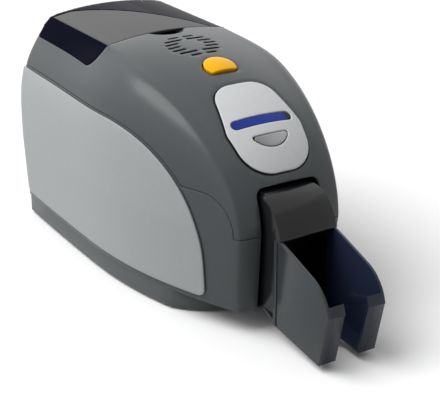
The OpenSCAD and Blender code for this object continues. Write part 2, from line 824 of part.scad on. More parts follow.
// half moon under its straight upper edge
module moon_outline(g) {
    intersection() {
        translate([0, moon_r - moon_h]) circle(r = moon_r + g);
        translate([-40, g - 40]) square([80, 40]);
    }
}

module lens_outline(g) {
    for (s = [-1, 1]) translate([s * (lens_l - lens_h) / 2, 0]) circle(r = lens_h / 2 + g);
    translate([-(lens_l - lens_h) / 2, -lens_h / 2 - g]) square([lens_l - lens_h, lens_h + 2 * g]);
}

lens_v = 0.8;
moon_v = -16;

// rounded surface that follows the spine under the display
module crowned(grow) {
    rotate([0, 90, 0]) translate([0, 0, 0]) rotate_extrude($fn = 128) intersection() {
        translate([slope_r - cross_r + grow, 0]) circle(r = cross_r, $fn = 128);
        translate([0, -90]) square([slope_r + 20, 180]);
    }
}

module follow(grow) {
    translate([0, 0, -slope_r]) crowned(grow);
}

module scoop(r) {
    translate([0, feeder_y + 6, top_z + crown + 33]) sphere(r = r, $fn = 64);
}

module top_cover() {
    color("dimgray") difference() {
        union() {
            difference() {
                form(0);
                form(-wall, base_z - 6);
                scoop(40);
            }
            intersection() {
                difference() {
                    scoop(42);
                    scoop(40);
                }
                block(-far, far, -far, feeder_y - seam / 2, 100, top_z + crown - wall + 0.3);
            }
        }
        across(far) housing_side(seam);
        across(far) feeder_side(seam / 2);
        hinge_notches(split_z, cover_hinge_x);
        hinge_notches(window_z, feeder_hinge_x);
        mouth_cut();
        at_slope(vent_u, vent_tilt) translate([0, 0, -20]) linear_extrude(40) vent_slots();
        at_slope(release_u, release_tilt) translate([0, 0, -20]) linear_extrude(40) release_outline(0.5);
        at_slope(display_u, display_tilt) translate([0, 0, -20]) linear_extrude(40) display_outline(1);
    }
}

module display_bezel() {
    color("gainsboro") at_slope(display_u, display_tilt) difference() {
        union() {
            intersection() {
                follow(0.8);
                translate([0, 0, -30]) linear_extrude(60) display_outline(0);
            }
            intersection() {
                follow(-wall - 2.2);
                translate([0, 0, -30]) linear_extrude(60) display_outline(4);
            }
        }
        follow(-wall - 4.2);
        translate([0, lens_v, -30]) linear_extrude(60) lens_outline(0.2);
        translate([0, moon_v, -30]) linear_extrude(60) moon_outline(0.4);
    }
}

module display_window() {
    color("royalblue") at_slope(display_u, display_tilt) intersection() {
        difference() {
            follow(0.1);
            follow(-wall - 4.2);
        }
        translate([0, lens_v, -30]) linear_extrude(60) lens_outline(0);
    }
}

module panel_button() {
    color("darkgray") at_slope(display_u, display_tilt) {
        translate([0, moon_v, -wall - 9.4]) linear_extrude(2) moon_outline(1.4);
        intersection() {
            translate([0, 0, -slope_r]) rotate([0, 90, 0])
                cylinder(r = slope_r + 1.2, h = 2 * moon_r, center = true, $fn = 360);
            translate([0, moon_v, -wall - 8]) linear_extrude(30) moon_outline(0);
        }
    }
}

module release_button() {
    color("gold") at_slope(release_u, release_tilt) {
        difference() {
            intersection() {
                translate([0, 0, -wall - 6]) linear_extrude(wall + 16) release_outline(0);
                translate([0, -6, 3.4 - release_dome]) sphere(r = release_dome, $fn = 96);
            }
            translate([0, 0, -wall - 10]) linear_extrude(wall + 8) release_outline(-2);
        }
        difference() {
            translate([0, 0, -wall - 6]) linear_extrude(1.6) release_outline(2);
            translate([0, 0, -wall - 7]) linear_extrude(8) release_outline(-1);
        }
        translate([0, 0, -release_stem]) cylinder(r = 3, h = release_stem - 1);
    }
}

// pieces hung from the underside of the top cover
module hung() {
    intersection() {
        form(-wall - 0.25, base_z - 6);
        union() children();
    }
}

module cover_frame() {
    color("darkslategray") difference() {
        hung() {
            block(-sleeve_half - 2, sleeve_half + 2, platen_y - 8, platen_y + 8, 140, 144);
            for (s = [-1, 1]) {
                block(s * 30 - 2, s * 30 + 2, platen_y - 7, platen_y - 1, 140, far);
                block(s * (latch_x + 7) - 2, s * (latch_x + 7) + 2, latch_y - 6, latch_y + 6, latch_z - 6, far);
                block(s * (latch_x - 1.5) - 11.5, s * (latch_x - 1.5) + 11.5, platen_y - 7, platen_y - 4, latch_z + 6, far);
                block(s * (latch_x + 7) - 2, s * (latch_x + 7) + 2, latch_y, platen_y - 4, latch_z + 6, far);
            }
        }
        rod(latch_y, latch_z, 2.5 + run_gap, -latch_x - 12, latch_x + 12);
        block(-25, 25, -far, far, 150, far);
    }
}

module printhead() {
    color("silver") {
        block(-sleeve_half - 1, sleeve_half + 1, platen_y - 7, platen_y + 7, 126, 139.7);
        block(-sleeve_half, sleeve_half, platen_y - 3, platen_y + 3, path_z + 1.6, 126);
    }
}

module fan_frame() {
    color("black") at_slope(vent_u, vent_tilt) translate([0, 0, -wall - 4.5 - 10]) difference() {
        translate([-25, -25, 0]) cube([50, 50, 10]);
        translate([0, 0, -1]) cylinder(r = 23.5, h = 12);
    }
    color("black") at_slope(vent_u, vent_tilt) translate([0, 0, -wall - 4.5 - 10]) {
        for (x = [-21, 21]) for (y = [-21, 21]) translate([x, y, 9.9]) cylinder(r = 2.4, h = 2.5 + 0.1 * y / 21);
        cylinder(r = 9, h = 2);
        for (a = [45:90:315]) rotate([0, 0, a]) translate([8, -1, 0]) cube([17, 2, 2]);
    }
}

module fan_rotor() {
    color("black") at_slope(vent_u, vent_tilt) translate([0, 0, -wall - 4.5 - 10]) {
        translate([0, 0, 2.3]) cylinder(r = 10, h = 7);
        for (a = [0:360 / 7:359]) rotate([0, 0, a]) translate([9, 0, 5.8]) rotate([32, 0, 0])
            translate([0, -4, -0.6]) cube([13.3, 8, 1.2]);
    }
}

module cover_latch() {
    color("darkslategray") {
        rod(latch_y, latch_z, 2.5, -latch_x - 10, latch_x + 10);
        block(-8, 8, latch_y, latch_y + 20, latch_z - 1.5, latch_z + 1.5);
        for (s = [-1, 1]) {
            block(s * latch_x - 1.5, s * latch_x + 1.5, latch_y - 4, latch_y + 4, path_z + 3, latch_z);
            block(s * latch_x - 1.5, s * latch_x + 1.5, latch_y - 4, latch_y + 9, path_z + 3, path_z + 8);
        }
    }
}

module feeder_deck() {
    hw = card_w / 2 + card_play + 2.4;
    color("darkslategray") hung() difference() {
        block(-far, far, feeder_y + 5, rear_y - 3, window_z - 8, window_z - 6);
        block(-hw, hw, tray_front_y - 2.4, tray_front_y + tray_len + 2.4, 0, far);
    }
}

// feeder cover --------------------------------------------------------------------------

plate_centre = [brow_y - 263.5, brow_y - 70.5];

module plate_plan(g) {
    intersection() {
        translate(plate_centre) circle(r = plate_r + g, $fn = 192);
        translate([-spine_w / 2 + 1 - g, 0]) square([spine_w, rear_top_y - 12 + g]);
    }
}

module feeder_cover() {
    color("midnightblue") difference() {
        intersection() {
            form(0);
            across(far) feeder_side(-seam / 2);
        }
        form(-wall, base_z - 6);
        hinge_notches(window_z, feeder_hinge_x);
        difference() {
            linear_extrude(far) plate_plan(0.3);
            form(-plate_t - 0.2);
        }
    }
}

module feeder_plate() {
    color("dimgray") intersection() {
        skin(0, -plate_t, base_z, base_z - 6);
        linear_extrude(far) plate_plan(0);
        across(far) feeder_side(-seam / 2);
    }
}

// output hopper ---------------------------------------------------------------------------

flange_y = nose_y - 23;
bin_front_y = flange_y - bin_len + 11;
lip_y = brow_y - hopper_reach;
flange_t = 3.5;
bin_low = 6.5;
bin_arc_r = 39.3;
bin_arc = [lip_y + 37.5, lip_top - 7];

function arc_points(c, r, a0, a1, n) = [for (i = [0:n]) let(a = a0 + (a1 - a0) * i / n) c + r * [cos(a), sin(a)]];

module bin_side(g) {
    polygon(concat([[flange_y, bin_low + 8.5 + g], [bin_front_y + g, bin_low + g], [lip_y + g, lip_top]],
        arc_points(bin_arc, bin_arc_r, 168, 110, 8), [[flange_y - 9, 101], [flange_y, 101]],
        [[flange_y + flange_t, 101], [flange_y + flange_t, bin_low + 8.5 + g]]));
}

tongue_z = opening_bottom + 0.1;

module bin_tongue() {
    polygon([[flange_y - 1, bin_low + 8.6], [nose_y - 7.5, tongue_z - 2.6], [nose_y - 2.5, tongue_z],
        [flange_y + 38, tongue_z], [flange_y + 38, tongue_z + 1.5], [nose_y - 4.5, tongue_z + 1.5],
        [flange_y - 1, bin_low + 11.2]]);
}

module output_bin() {
    color("midnightblue") difference() {
        union() {
            across(2 * bin_half) bin_side(0);
            across(2 * bin_half) bin_tongue();
        }
        across(2 * (bin_half - hopper_wall)) polygon([[flange_y + flange_t + 1, bin_low + 13],
            [bin_front_y + hopper_wall, bin_low + hopper_wall + 0.4], [lip_y + hopper_wall, lip_top],
            [lip_y + hopper_wall, 140], [flange_y + flange_t + 1, 140]]);
        for (side = [-1, 1]) block(side * bin_half - 1.2, side * bin_half + 1.2,
            flange_y - 3.2, flange_y - 0.6, bin_low + 9, 99.5);
        translate([0, bin_front_y + 22, 0]) cylinder(r = finger_w / 2, h = lip_top + 20);
        block(-finger_w / 2, finger_w / 2, lip_y - 10, bin_front_y + 22, -1, lip_top + 20);
    }
}

column_y = flange_y + 3.8;
column_top = 101.5;
collar = 5.2;

module hood_side(g) {
    difference() {
        union() {
            translate([nose_y + 14, belt_z - 4]) circle(r = hood_r + g, $fn = 96);
            translate([column_y - g, 0]) square([flange_y + 41 - column_y + g, belt_z]);
        }
        translate([flange_y + 41, -far]) square([far, 2 * far]);
        translate([-far, -far]) square([far + column_y - g, far + column_top]);
        translate([-far, -far]) square([2 * far, far + opening_bottom + 1.7]);
    }
}

module exit_hood() {
    color("black") {
        difference() {
            intersection() {
                across(2 * hood_half) hood_side(0);
                translate([0, nose_y + 70, 0]) rotate([90, 0, 0]) linear_extrude(130) mouth_outline(0);
            }
            intersection() {
                across(2 * (hood_half - hopper_wall)) {
                    hood_side(-hopper_wall);
                    translate([flange_y - 12, 0]) square([60, belt_z + 4]);
                }
                translate([0, nose_y + 80, 0]) rotate([90, 0, 0]) linear_extrude(150)
                    mouth_outline(-hopper_wall);
            }
        }
        translate([0, flange_y + 41, 0]) rotate([90, 0, 0]) linear_extrude(3) difference() {
            intersection() {
                mouth_outline(collar);
                translate([-far, tongue_z + 1.8]) square([2 * far, far]);
            }
            intersection() {
                mouth_outline(-hopper_wall);
                translate([-far, path_z - 3]) square([2 * far, far]);
            }
        }
    }
}

// ------------------------------------------------------------------------------------------

base_pan();
rubber_feet();
base_screws();
main_housing();
side_panel_left();
side_panel_right();
chassis_left();
chassis_right();
card_deck();
feeder_tray();
transport_belt();
motor_belt();
drive_motor();
main_board();
power_inlet();
usb_port();
network_port();
cover_hinge_lower();
cover_hinge_pins();
switch_body();
power_switch();
motor_pulley();
feed_shaft();
feed_sleeve();
transport_shaft();
transport_sleeve();
platen_shaft();
platen_sleeve();
exit_shaft();
exit_sleeve();
cleaning_shaft();
cleaning_sleeve();
supply_spool();
supply_roll();
takeup_spool();
takeup_roll();
ribbon_film();
top_cover();
display_bezel();
display_window();
cover_frame();
printhead();
fan_frame();
fan_rotor();
feeder_deck();
cover_hinge_upper();
feeder_hinge_lower();
feeder_hinge_pins();
cover_latch();
release_button();
panel_button();
feeder_cover();
feeder_plate();
feeder_hinge_upper();
output_bin();
exit_hood();
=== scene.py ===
import json
import math

import bmesh
import bpy
import numpy as np
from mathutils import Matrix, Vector
from mathutils.geometry import delaunay_2d_cdt


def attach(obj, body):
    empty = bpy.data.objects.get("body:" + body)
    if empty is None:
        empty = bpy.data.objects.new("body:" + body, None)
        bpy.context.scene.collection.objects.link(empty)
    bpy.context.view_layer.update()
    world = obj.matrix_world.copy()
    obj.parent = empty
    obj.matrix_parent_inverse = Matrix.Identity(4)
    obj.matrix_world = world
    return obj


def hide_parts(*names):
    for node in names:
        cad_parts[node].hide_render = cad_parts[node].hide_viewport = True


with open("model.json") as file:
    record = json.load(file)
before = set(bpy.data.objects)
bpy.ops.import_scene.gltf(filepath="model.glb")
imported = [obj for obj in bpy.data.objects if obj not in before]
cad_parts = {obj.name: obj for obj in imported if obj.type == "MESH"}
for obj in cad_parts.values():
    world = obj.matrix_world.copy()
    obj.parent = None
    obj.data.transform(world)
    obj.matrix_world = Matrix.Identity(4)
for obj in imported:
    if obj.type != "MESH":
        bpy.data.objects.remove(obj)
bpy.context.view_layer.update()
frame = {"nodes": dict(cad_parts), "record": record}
nodes = frame["nodes"]
mm = 0.001
print("frame loaded:", len(nodes), "nodes")

# place in millimetres, pitch and yaw in degrees, near limit in metres
view = {
    "place": (-620, -1020, 577), "pitch": 22.97, "yaw": -31.59,
    "lens": 105.21818, "sensor": 36, "near": 0.01,
}


def makeCamera():
    data = bpy.data.cameras.new("camera")
    data.sensor_width = view["sensor"]
    data.sensor_fit = "HORIZONTAL"
    data.lens = view["lens"]
    data.clip_start = view["near"]
    cam = bpy.data.objects.new("camera", data)
    bpy.context.scene.collection.objects.link(cam)
    cam.location = Vector(view["place"]) * mm
    cam.rotation_euler = (math.radians(90 - view["pitch"]), 0, math.radians(view["yaw"]))
    bpy.context.scene.camera = cam


makeCamera()
print("camera set")

# form of the machine in millimetres, the same values as the solids
form = {
    "bodyW": 209, "spineW": 135, "noseW": 108,
    "rearLen": 148, "noseLen": 225, "reach": 328,
    "beltZ": 97, "noseRise": 128, "crown": 6.5, "crownMid": 9.5,
    "frontFrom": 13.5, "frontDraw": 1069, "rearFrom": 20, "rearDraw": 7518,  # where the belt draws in, how gently
    "shoulderFront": 0.445, "shoulderRear": 1.527, "shoulderFrom": 90, "shoulderRun": 178, "taper": 0.048,
    "frontLean": 6, "rearLean": 6, "rearRound": 5,
    "wall": 2.4, "baseZ": 22, "seam": 0.5,
}
browY = (form["reach"] - form["rearLen"]) / 2
rearY = browY + form["rearLen"]
noseY = browY - form["noseLen"]
topZ = form["beltZ"] + form["noseRise"]


def slant(z):
    return form["frontLean"] * np.maximum(0, form["beltZ"] - z) / form["beltZ"]


def rearFace(z):
    return rearY - form["rearLean"] * z / topZ


def edgeHalf(y):
    fall = (form["spineW"] - form["noseW"]) / 2 * np.maximum(0, browY - y) / form["noseLen"]
    return form["spineW"] / 2 - fall


def beltHalf(y):
    front = np.maximum(0, browY - form["frontFrom"] - y) ** 2 / form["frontDraw"]
    back = np.maximum(0, y - browY - form["rearFrom"]) ** 2 / form["rearDraw"]
    return form["bodyW"] / 2 - front - back


def fullness(y):
    t = np.clip((y - browY + form["shoulderFrom"]) / form["shoulderRun"], 0, 1)
    return form["shoulderFront"] + (form["shoulderRear"] - form["shoulderFront"]) * t * t * (3 - 2 * t)


def halfW(y, z):
    # half width of the machine at y and z
    y = np.asarray(y, float)
    z = np.asarray(z, float)
    u = np.maximum(0, (browY - y + slant(z)) / form["noseLen"])
    v = np.maximum(0, (z - form["beltZ"]) / form["noseRise"])
    far = u * u + v * v
    far = np.where(far > 1 - 1e-5, 1, far)
    edge = edgeHalf(y)
    full = (1 - far * far) ** fullness(y)
    return edge + (beltHalf(y) - edge) * full - form["taper"] * np.maximum(0, form["beltZ"] - z)


def crownAt(u):
    return form["crown"] + (form["crownMid"] - form["crown"]) * (2 * u * math.sqrt(max(0, 1 - u * u))) ** 2


# the side view is stretched towards the crease before it is filled, so the steep shoulder gets enough points
stretchMost = 0.3
shareRow = np.linspace(0, 1, 4001)
stretchRow = shareRow + stretchMost * (1 - np.sqrt(np.maximum(0, 1 - shareRow ** 4)))


def stretch(points, back=False):
    points = np.asarray(points, float)
    z = points[:, 1]
    b = (z - form["beltZ"]) / form["noseRise"]
    a = (browY - points[:, 0] + slant(z)) / form["noseLen"]
    t = np.hypot(np.maximum(0, a), np.maximum(0, b))
    if back:
        share = np.interp(t, stretchRow, shareRow)
    else:
        share = np.interp(np.minimum(t, 1), shareRow, stretchRow) + np.maximum(0, t - 1)
    k = np.where(t > 1e-9, share / np.maximum(t, 1e-9), 1)
    a = np.where(a > 0, a * k, a)
    b = np.where(b > 0, b * k, b)
    y = browY + slant(z) - form["noseLen"] * a
    return np.stack([y, form["beltZ"] + form["noseRise"] * b], -1)


# outlines are lists of points in a flat

def cutLine(p, q, n):
    return [(p[0] + (q[0] - p[0]) * i / n, p[1] + (q[1] - p[1]) * i / n) for i in range(n + 1)]


def linePoints(p, q, step=3.0):
    return cutLine(p, q, max(1, int(math.dist(p, q) / step + 0.5)))


def arcPoints(c, r, a0, a1, step=2.0):
    n = max(2, int(abs(math.radians(a1 - a0)) * r / step + 0.5))
    return [(c[0] + r * math.cos(math.radians(a)), c[1] + r * math.sin(math.radians(a)))
            for a in np.linspace(a0, a1, n + 1)]


def joinPaths(*paths):
    # one closed loop, doubled points dropped
    loop = []
    for path in paths:
        for p in path:
            if not loop or math.dist(p, loop[-1]) > 1e-4:
                loop.append((float(p[0]), float(p[1])))
    if math.dist(loop[0], loop[-1]) < 1e-4:
        loop.pop()
    return loop


def runAlong(points):
    return np.concatenate([[0], np.cumsum(np.hypot(*np.diff(points, axis=0).T))])


def closeUp(path, step=3.0):
    # more points where the stretched path is long
    out = [path[0]]
    for p, q in zip(path[:-1], path[1:]):
        flat = stretch([p, q])
        n = max(1, int(np.ceil(np.hypot(*(flat[1] - flat[0])) / step)))
        if n > 1:
            n = min(4 * n, 60)  # cut finely first, to measure along the stretched path
            run = runAlong(stretch(cutLine(p, q, n)))
            m = max(1, int(np.ceil(run[-1] / step)))
            at = np.interp(np.linspace(0, run[-1], m + 1), run, np.linspace(0, 1, n + 1))
            out += [(p[0] + (q[0] - p[0]) * w, p[1] + (q[1] - p[1]) * w) for w in at[1:]]
        else:
            out.append(q)
    return out


def respace(loop, step):
    # even distances round a closed outline
    pts = np.array(loop + [loop[0]])
    run = runAlong(pts)
    n = max(8, int(run[-1] / step + 0.5))
    at = np.linspace(0, run[-1], n + 1)[:-1]
    return list(zip(np.interp(at, run, pts[:, 0]).tolist(), np.interp(at, run, pts[:, 1]).tolist()))


def hullOf(points):
    pts = sorted(set((round(p[0], 5), round(p[1], 5)) for p in points))

    def turnsIn(a, b, p):
        return (b[0] - a[0]) * (p[1] - a[1]) - (b[1] - a[1]) * (p[0] - a[0]) <= 0

    def half(seq):
        out = []
        for p in seq:
            while len(out) > 1 and turnsIn(out[-2], out[-1], p):
                out.pop()
            out.append(p)
        return out[:-1]

    return half(pts) + half(pts[::-1])


def rounded(loop, r):
    # a convex outline with every point swollen to a circle
    ring = np.radians(np.arange(0, 360, 15))
    return hullOf([(p[0] + r * math.cos(w), p[1] + r * math.sin(w)) for p in loop for w in ring])


# the crease is the line where side and spine meet, and the spine's flat is arc length along it and x
creaseRows = {"straight": 60, "curve": 900, "round": 20}


def creaseLine():
    # stations along the crease: y, z, normal y, normal z, crown
    rows = []
    noseLen, rise, crown, r = (form[k] for k in ("noseLen", "noseRise", "crown", "rearRound"))
    for z in np.linspace(form["baseZ"], form["beltZ"], creaseRows["straight"])[:-1]:
        rows.append((noseY + float(slant(z)), z, -1, 0, crown))
    for a in np.radians(np.linspace(0, 90, creaseRows["curve"])):
        n = np.array([-math.cos(a) / noseLen, math.sin(a) / rise])
        n /= np.linalg.norm(n)
        rows.append((browY - noseLen * math.cos(a), form["beltZ"] + rise * math.sin(a), n[0], n[1],
                     crownAt(math.cos(a))))
    rearTop = rearFace(topZ - r)
    for y in np.linspace(browY, rearTop - r, creaseRows["straight"])[1:]:
        rows.append((y, topZ, 0, 1, crown))
    for a in np.radians(np.linspace(0, 90, creaseRows["round"]))[1:]:
        rows.append((rearTop + r * (math.sin(a) - 1), topZ + r * (math.cos(a) - 1), math.sin(a), math.cos(a),
                     crown * math.cos(a)))
    for z in np.linspace(topZ - r, form["baseZ"], creaseRows["straight"])[1:]:
        rows.append((rearFace(z), z, 1, 0, 0))
    rows = np.array(rows, float)
    arc = runAlong(rows[:, :2])
    return arc - arc[creaseRows["straight"] - 1], rows  # arc length 0 is at the belt


edgeArc, edgeRows = creaseLine()


def edgeAt(s):
    return [np.interp(s, edgeArc, edgeRows[:, k]) for k in range(5)]


def arcAtY(y):
    # arc length of the top line at a given y
    rear = edgeArc[np.argmax(edgeRows[:, 0] > rearFace(topZ) - form["rearRound"] - 1)]
    keep = (edgeArc >= 0) & (edgeRows[:, 3] > 0) & (edgeArc < rear)
    return float(np.interp(y, edgeRows[keep, 0], edgeArc[keep]))


def spine(s, x, lift=0.0):
    s = np.asarray(s, float)
    x = np.asarray(x, float)
    y, z, ny, nz, crown = edgeAt(s)
    c = x / halfW(y, z)
    out = lift + crown * np.maximum(0, 1 - c * c)
    return np.stack([x, y + out * ny, z + out * nz], -1)


def side(y, z, sign, lift=0.0):
    y = np.asarray(y, float)
    z = np.asarray(z, float)
    return np.stack([sign * (halfW(y, z) + lift), y, z], -1)


def onSpine(flat, lift=0.0):
    return spine(flat[:, 0], flat[:, 1], lift)


# flat outlines are filled with triangles, then lifted onto the form
fill = {"clear": 0.55, "rowHigh": 0.866, "sliver": 0.03}  # shares of the step and of its square


def insideMask(points, loop):
    points = np.asarray(points, float)
    poly = np.asarray(loop, float)
    x, y = points[:, 0][:, None], points[:, 1][:, None]
    x0, y0 = poly[:, 0], poly[:, 1]
    x1, y1 = np.roll(x0, -1), np.roll(y0, -1)
    crosses = (y0 > y) != (y1 > y)
    with np.errstate(divide="ignore", invalid="ignore"):
        at = (x1 - x0) * (y - y0) / np.where(y1 == y0, 1e-12, y1 - y0) + x0
    return (np.sum(crosses & (x < at), axis=1) % 2) == 1


def insideRegion(points, outer, holes):
    ok = insideMask(points, outer)
    for hole in holes:
        ok &= ~insideMask(points, hole)
    return ok


def hexGrid(lo, hi, h):
    rows = []
    for j, y in enumerate(np.arange(lo[1], hi[1], h * fill["rowHigh"])):
        rows += [(x + (h / 2 if j % 2 else 0), y) for x in np.arange(lo[0], hi[0], h)]
    return np.array(rows)


def dropSlivers(flat, tris, fixed, least):
    # thin triangles just outside the outline go: their long edge is on no outline
    a, b, c = (flat[tris[:, k]] for k in range(3))
    area = np.abs((b[:, 0] - a[:, 0]) * (c[:, 1] - a[:, 1]) - (b[:, 1] - a[:, 1]) * (c[:, 0] - a[:, 0])) / 2
    sides = [[frozenset((int(t[k]), int(t[k - 1]))) for k in range(3)] for t in tris]
    count = {}
    for three in sides:
        for e in three:
            count[e] = count.get(e, 0) + 1
    whole = np.array([all(e in fixed or count[e] > 1 for e in three) for three in sides])
    return tris[(area > least) | whole]


def fillRegion(outer, holes=(), step=4.0, fine=()):
    # triangles inside outer and outside the holes; fine holds round patches: x, y, radius, step
    loops = [outer] + list(holes)
    edge = np.array([p for loop in loops for p in loop])
    lo, hi = edge.min(0), edge.max(0)

    def keepInside(pts, gap):
        pts = pts[insideRegion(pts, outer, holes)]
        if len(pts):
            near = np.array([np.min(np.hypot(edge[:, 0] - p[0], edge[:, 1] - p[1])) for p in pts])
            pts = pts[near > gap]
        return pts

    grid = hexGrid(lo, hi, step)
    for cx, cy, r, h in fine:
        grid = grid[np.hypot(grid[:, 0] - cx, grid[:, 1] - cy) > r]
    pts = [keepInside(grid, step * fill["clear"])]
    for cx, cy, r, h in fine:
        patch = hexGrid(lo, hi, h)
        patch = patch[np.hypot(patch[:, 0] - cx, patch[:, 1] - cy) < r - h * 0.5]
        pts.append(keepInside(patch, h * fill["clear"]))
    verts = [Vector(p) for p in edge] + [Vector(p) for p in np.vstack(pts)]
    edges = []
    base = 0
    for loop in loops:
        n = len(loop)
        edges += [(base + i, base + (i + 1) % n) for i in range(n)]
        base += n
    got = delaunay_2d_cdt(verts, edges, [], 0, 1e-5)
    flat = np.array([list(v) for v in got[0]])
    tris = np.array([f for f in got[2] if len(f) == 3])
    tris = tris[insideRegion(flat[tris].mean(1), outer, holes)]
    spot = {i: k for k, group in enumerate(got[3]) for i in group}
    fixed = {frozenset((spot[a], spot[b])) for a, b in edges}
    return flat, dropSlivers(flat, tris, fixed, fill["sliver"] * step * step)


def fillSide(loop, step=4.0):
    # a region of the side view, filled in its stretched form
    flat, tris = fillRegion([tuple(p) for p in stretch(loop).tolist()], step=step)
    return stretch(flat, back=True), tris


def addPatch(bm, region, lift):
    # lift maps the region's flat points to space, in millimetres
    flat, tris = region
    made = [bm.verts.new(p) for p in np.asarray(lift(flat)) * mm]
    faces = []
    for t in tris:
        try:
            faces.append(bm.faces.new([made[i] for i in t]))
        except ValueError:
            pass
    # in the order of the faces, since the order of a set changes from run to run and the fill depends on it
    inner = [e for e in dict.fromkeys(e for f in faces for e in f.edges) if len(e.link_faces) == 2]
    bmesh.ops.beautify_fill(bm, faces=faces, edges=inner, use_restrict_tag=False, method="ANGLE")


def addSides(bm, region):
    for sign in (-1, 1):
        addPatch(bm, region, lambda f: side(f[:, 0], f[:, 1], sign))


def addRear(bm, edge, step, holes=(), rowStep=3.0, lastHalf=None):
    # the rear wall between both sides, along the points of its side edge in y and z
    zs = np.array([p[1] for p in edge])
    ends = halfW(rearFace(zs), zs)
    if lastHalf is not None:
        ends[-1] = lastHalf
    loop = joinPaths(zip(ends, zs), linePoints((ends[-1], zs[-1]), (-ends[-1], zs[-1]), rowStep),
                     zip(-ends[::-1], zs[::-1]), linePoints((-ends[0], zs[0]), (ends[0], zs[0]), rowStep))
    addPatch(bm, fillRegion(loop, holes, step), lambda f: np.stack([f[:, 0], rearFace(f[:, 1]), f[:, 1]], -1))


def faceToward(bm, way):
    bmesh.ops.recalc_face_normals(bm, faces=bm.faces)
    if sum(f.normal.dot(Vector(way)) for f in bm.faces) < 0:
        bmesh.ops.reverse_faces(bm, faces=bm.faces)


def faceOut(bm, centre):
    bmesh.ops.recalc_face_normals(bm, faces=bm.faces)
    c = Vector(centre)
    if sum((f.calc_center_median() - c).dot(f.normal) * f.calc_area() for f in bm.faces) < 0:
        bmesh.ops.reverse_faces(bm, faces=bm.faces)


def softenEdge(bm, near, rounds=3):
    picked = [v for v in bm.verts if near(v.co / mm) and not v.is_boundary]
    for _ in range(rounds):
        bmesh.ops.smooth_vert(bm, verts=picked, factor=0.5, use_axis_x=True, use_axis_y=True, use_axis_z=True)


def shade(mesh, sharp):
    # smooth faces, split where they meet at more than sharp degrees
    mesh.polygons.foreach_set("use_smooth", [True] * len(mesh.polygons))
    mesh.set_sharp_from_angle(angle=math.radians(sharp))


def finish(bm, name, sharp=35):
    mesh = bpy.data.meshes.new(name)
    bm.to_mesh(mesh)
    bm.free()
    shade(mesh, sharp)
    piece = bpy.data.objects.new(name, mesh)
    bpy.context.scene.collection.objects.link(piece)
    return piece


def applyAll(piece):
    # live modifiers become plain mesh
    deps = bpy.context.evaluated_depsgraph_get()
    mesh = bpy.data.meshes.new_from_object(piece.evaluated_get(deps))
    old = piece.data
    piece.modifiers.clear()
    piece.data = mesh
    bpy.data.meshes.remove(old)


def addBevel(piece, width, segments, angle):
    edges = piece.modifiers.new("edges", "BEVEL")
    edges.width = width * mm
    edges.segments = segments
    edges.limit_method = "ANGLE"
    edges.angle_limit = math.radians(angle)
    return edges


shellEdge = {"round": 0.35, "segments": 2, "sharp": 50}


def thicken(piece, wall, bevel, segments, angle=shellEdge["sharp"]):
    solid = piece.modifiers.new("wall", "SOLIDIFY")
    solid.thickness = wall * mm
    solid.offset = -1
    solid.use_even_offset = False
    solid.use_quality_normals = True
    if bevel:
        edges = addBevel(piece, bevel, segments, angle)
        edges.use_clamp_overlap = False
        edges.loop_slide = False
    applyAll(piece)
    shade(piece.data, 40)


print("form set:", len(edgeArc), "stations along the crease")

# what a finish has unless it says otherwise: grain is the bump, vary the cloudy roughness, tint the cloudy
# colour, and stops a sweep of colour along X between two places in metres
plainLook = {
    "metal": 0, "spec": 0.5, "ior": 1.46, "sheenTone": (1, 1, 1), "stretch": (1, 1, 1),
    "grain": 0.05, "grainScale": 1400, "grainDeep": 0.0002, "vary": 0.03, "varyScale": 14,
    "tint": 0.05, "speckScale": 220, "sweep": (0, 1), "stops": (),
}


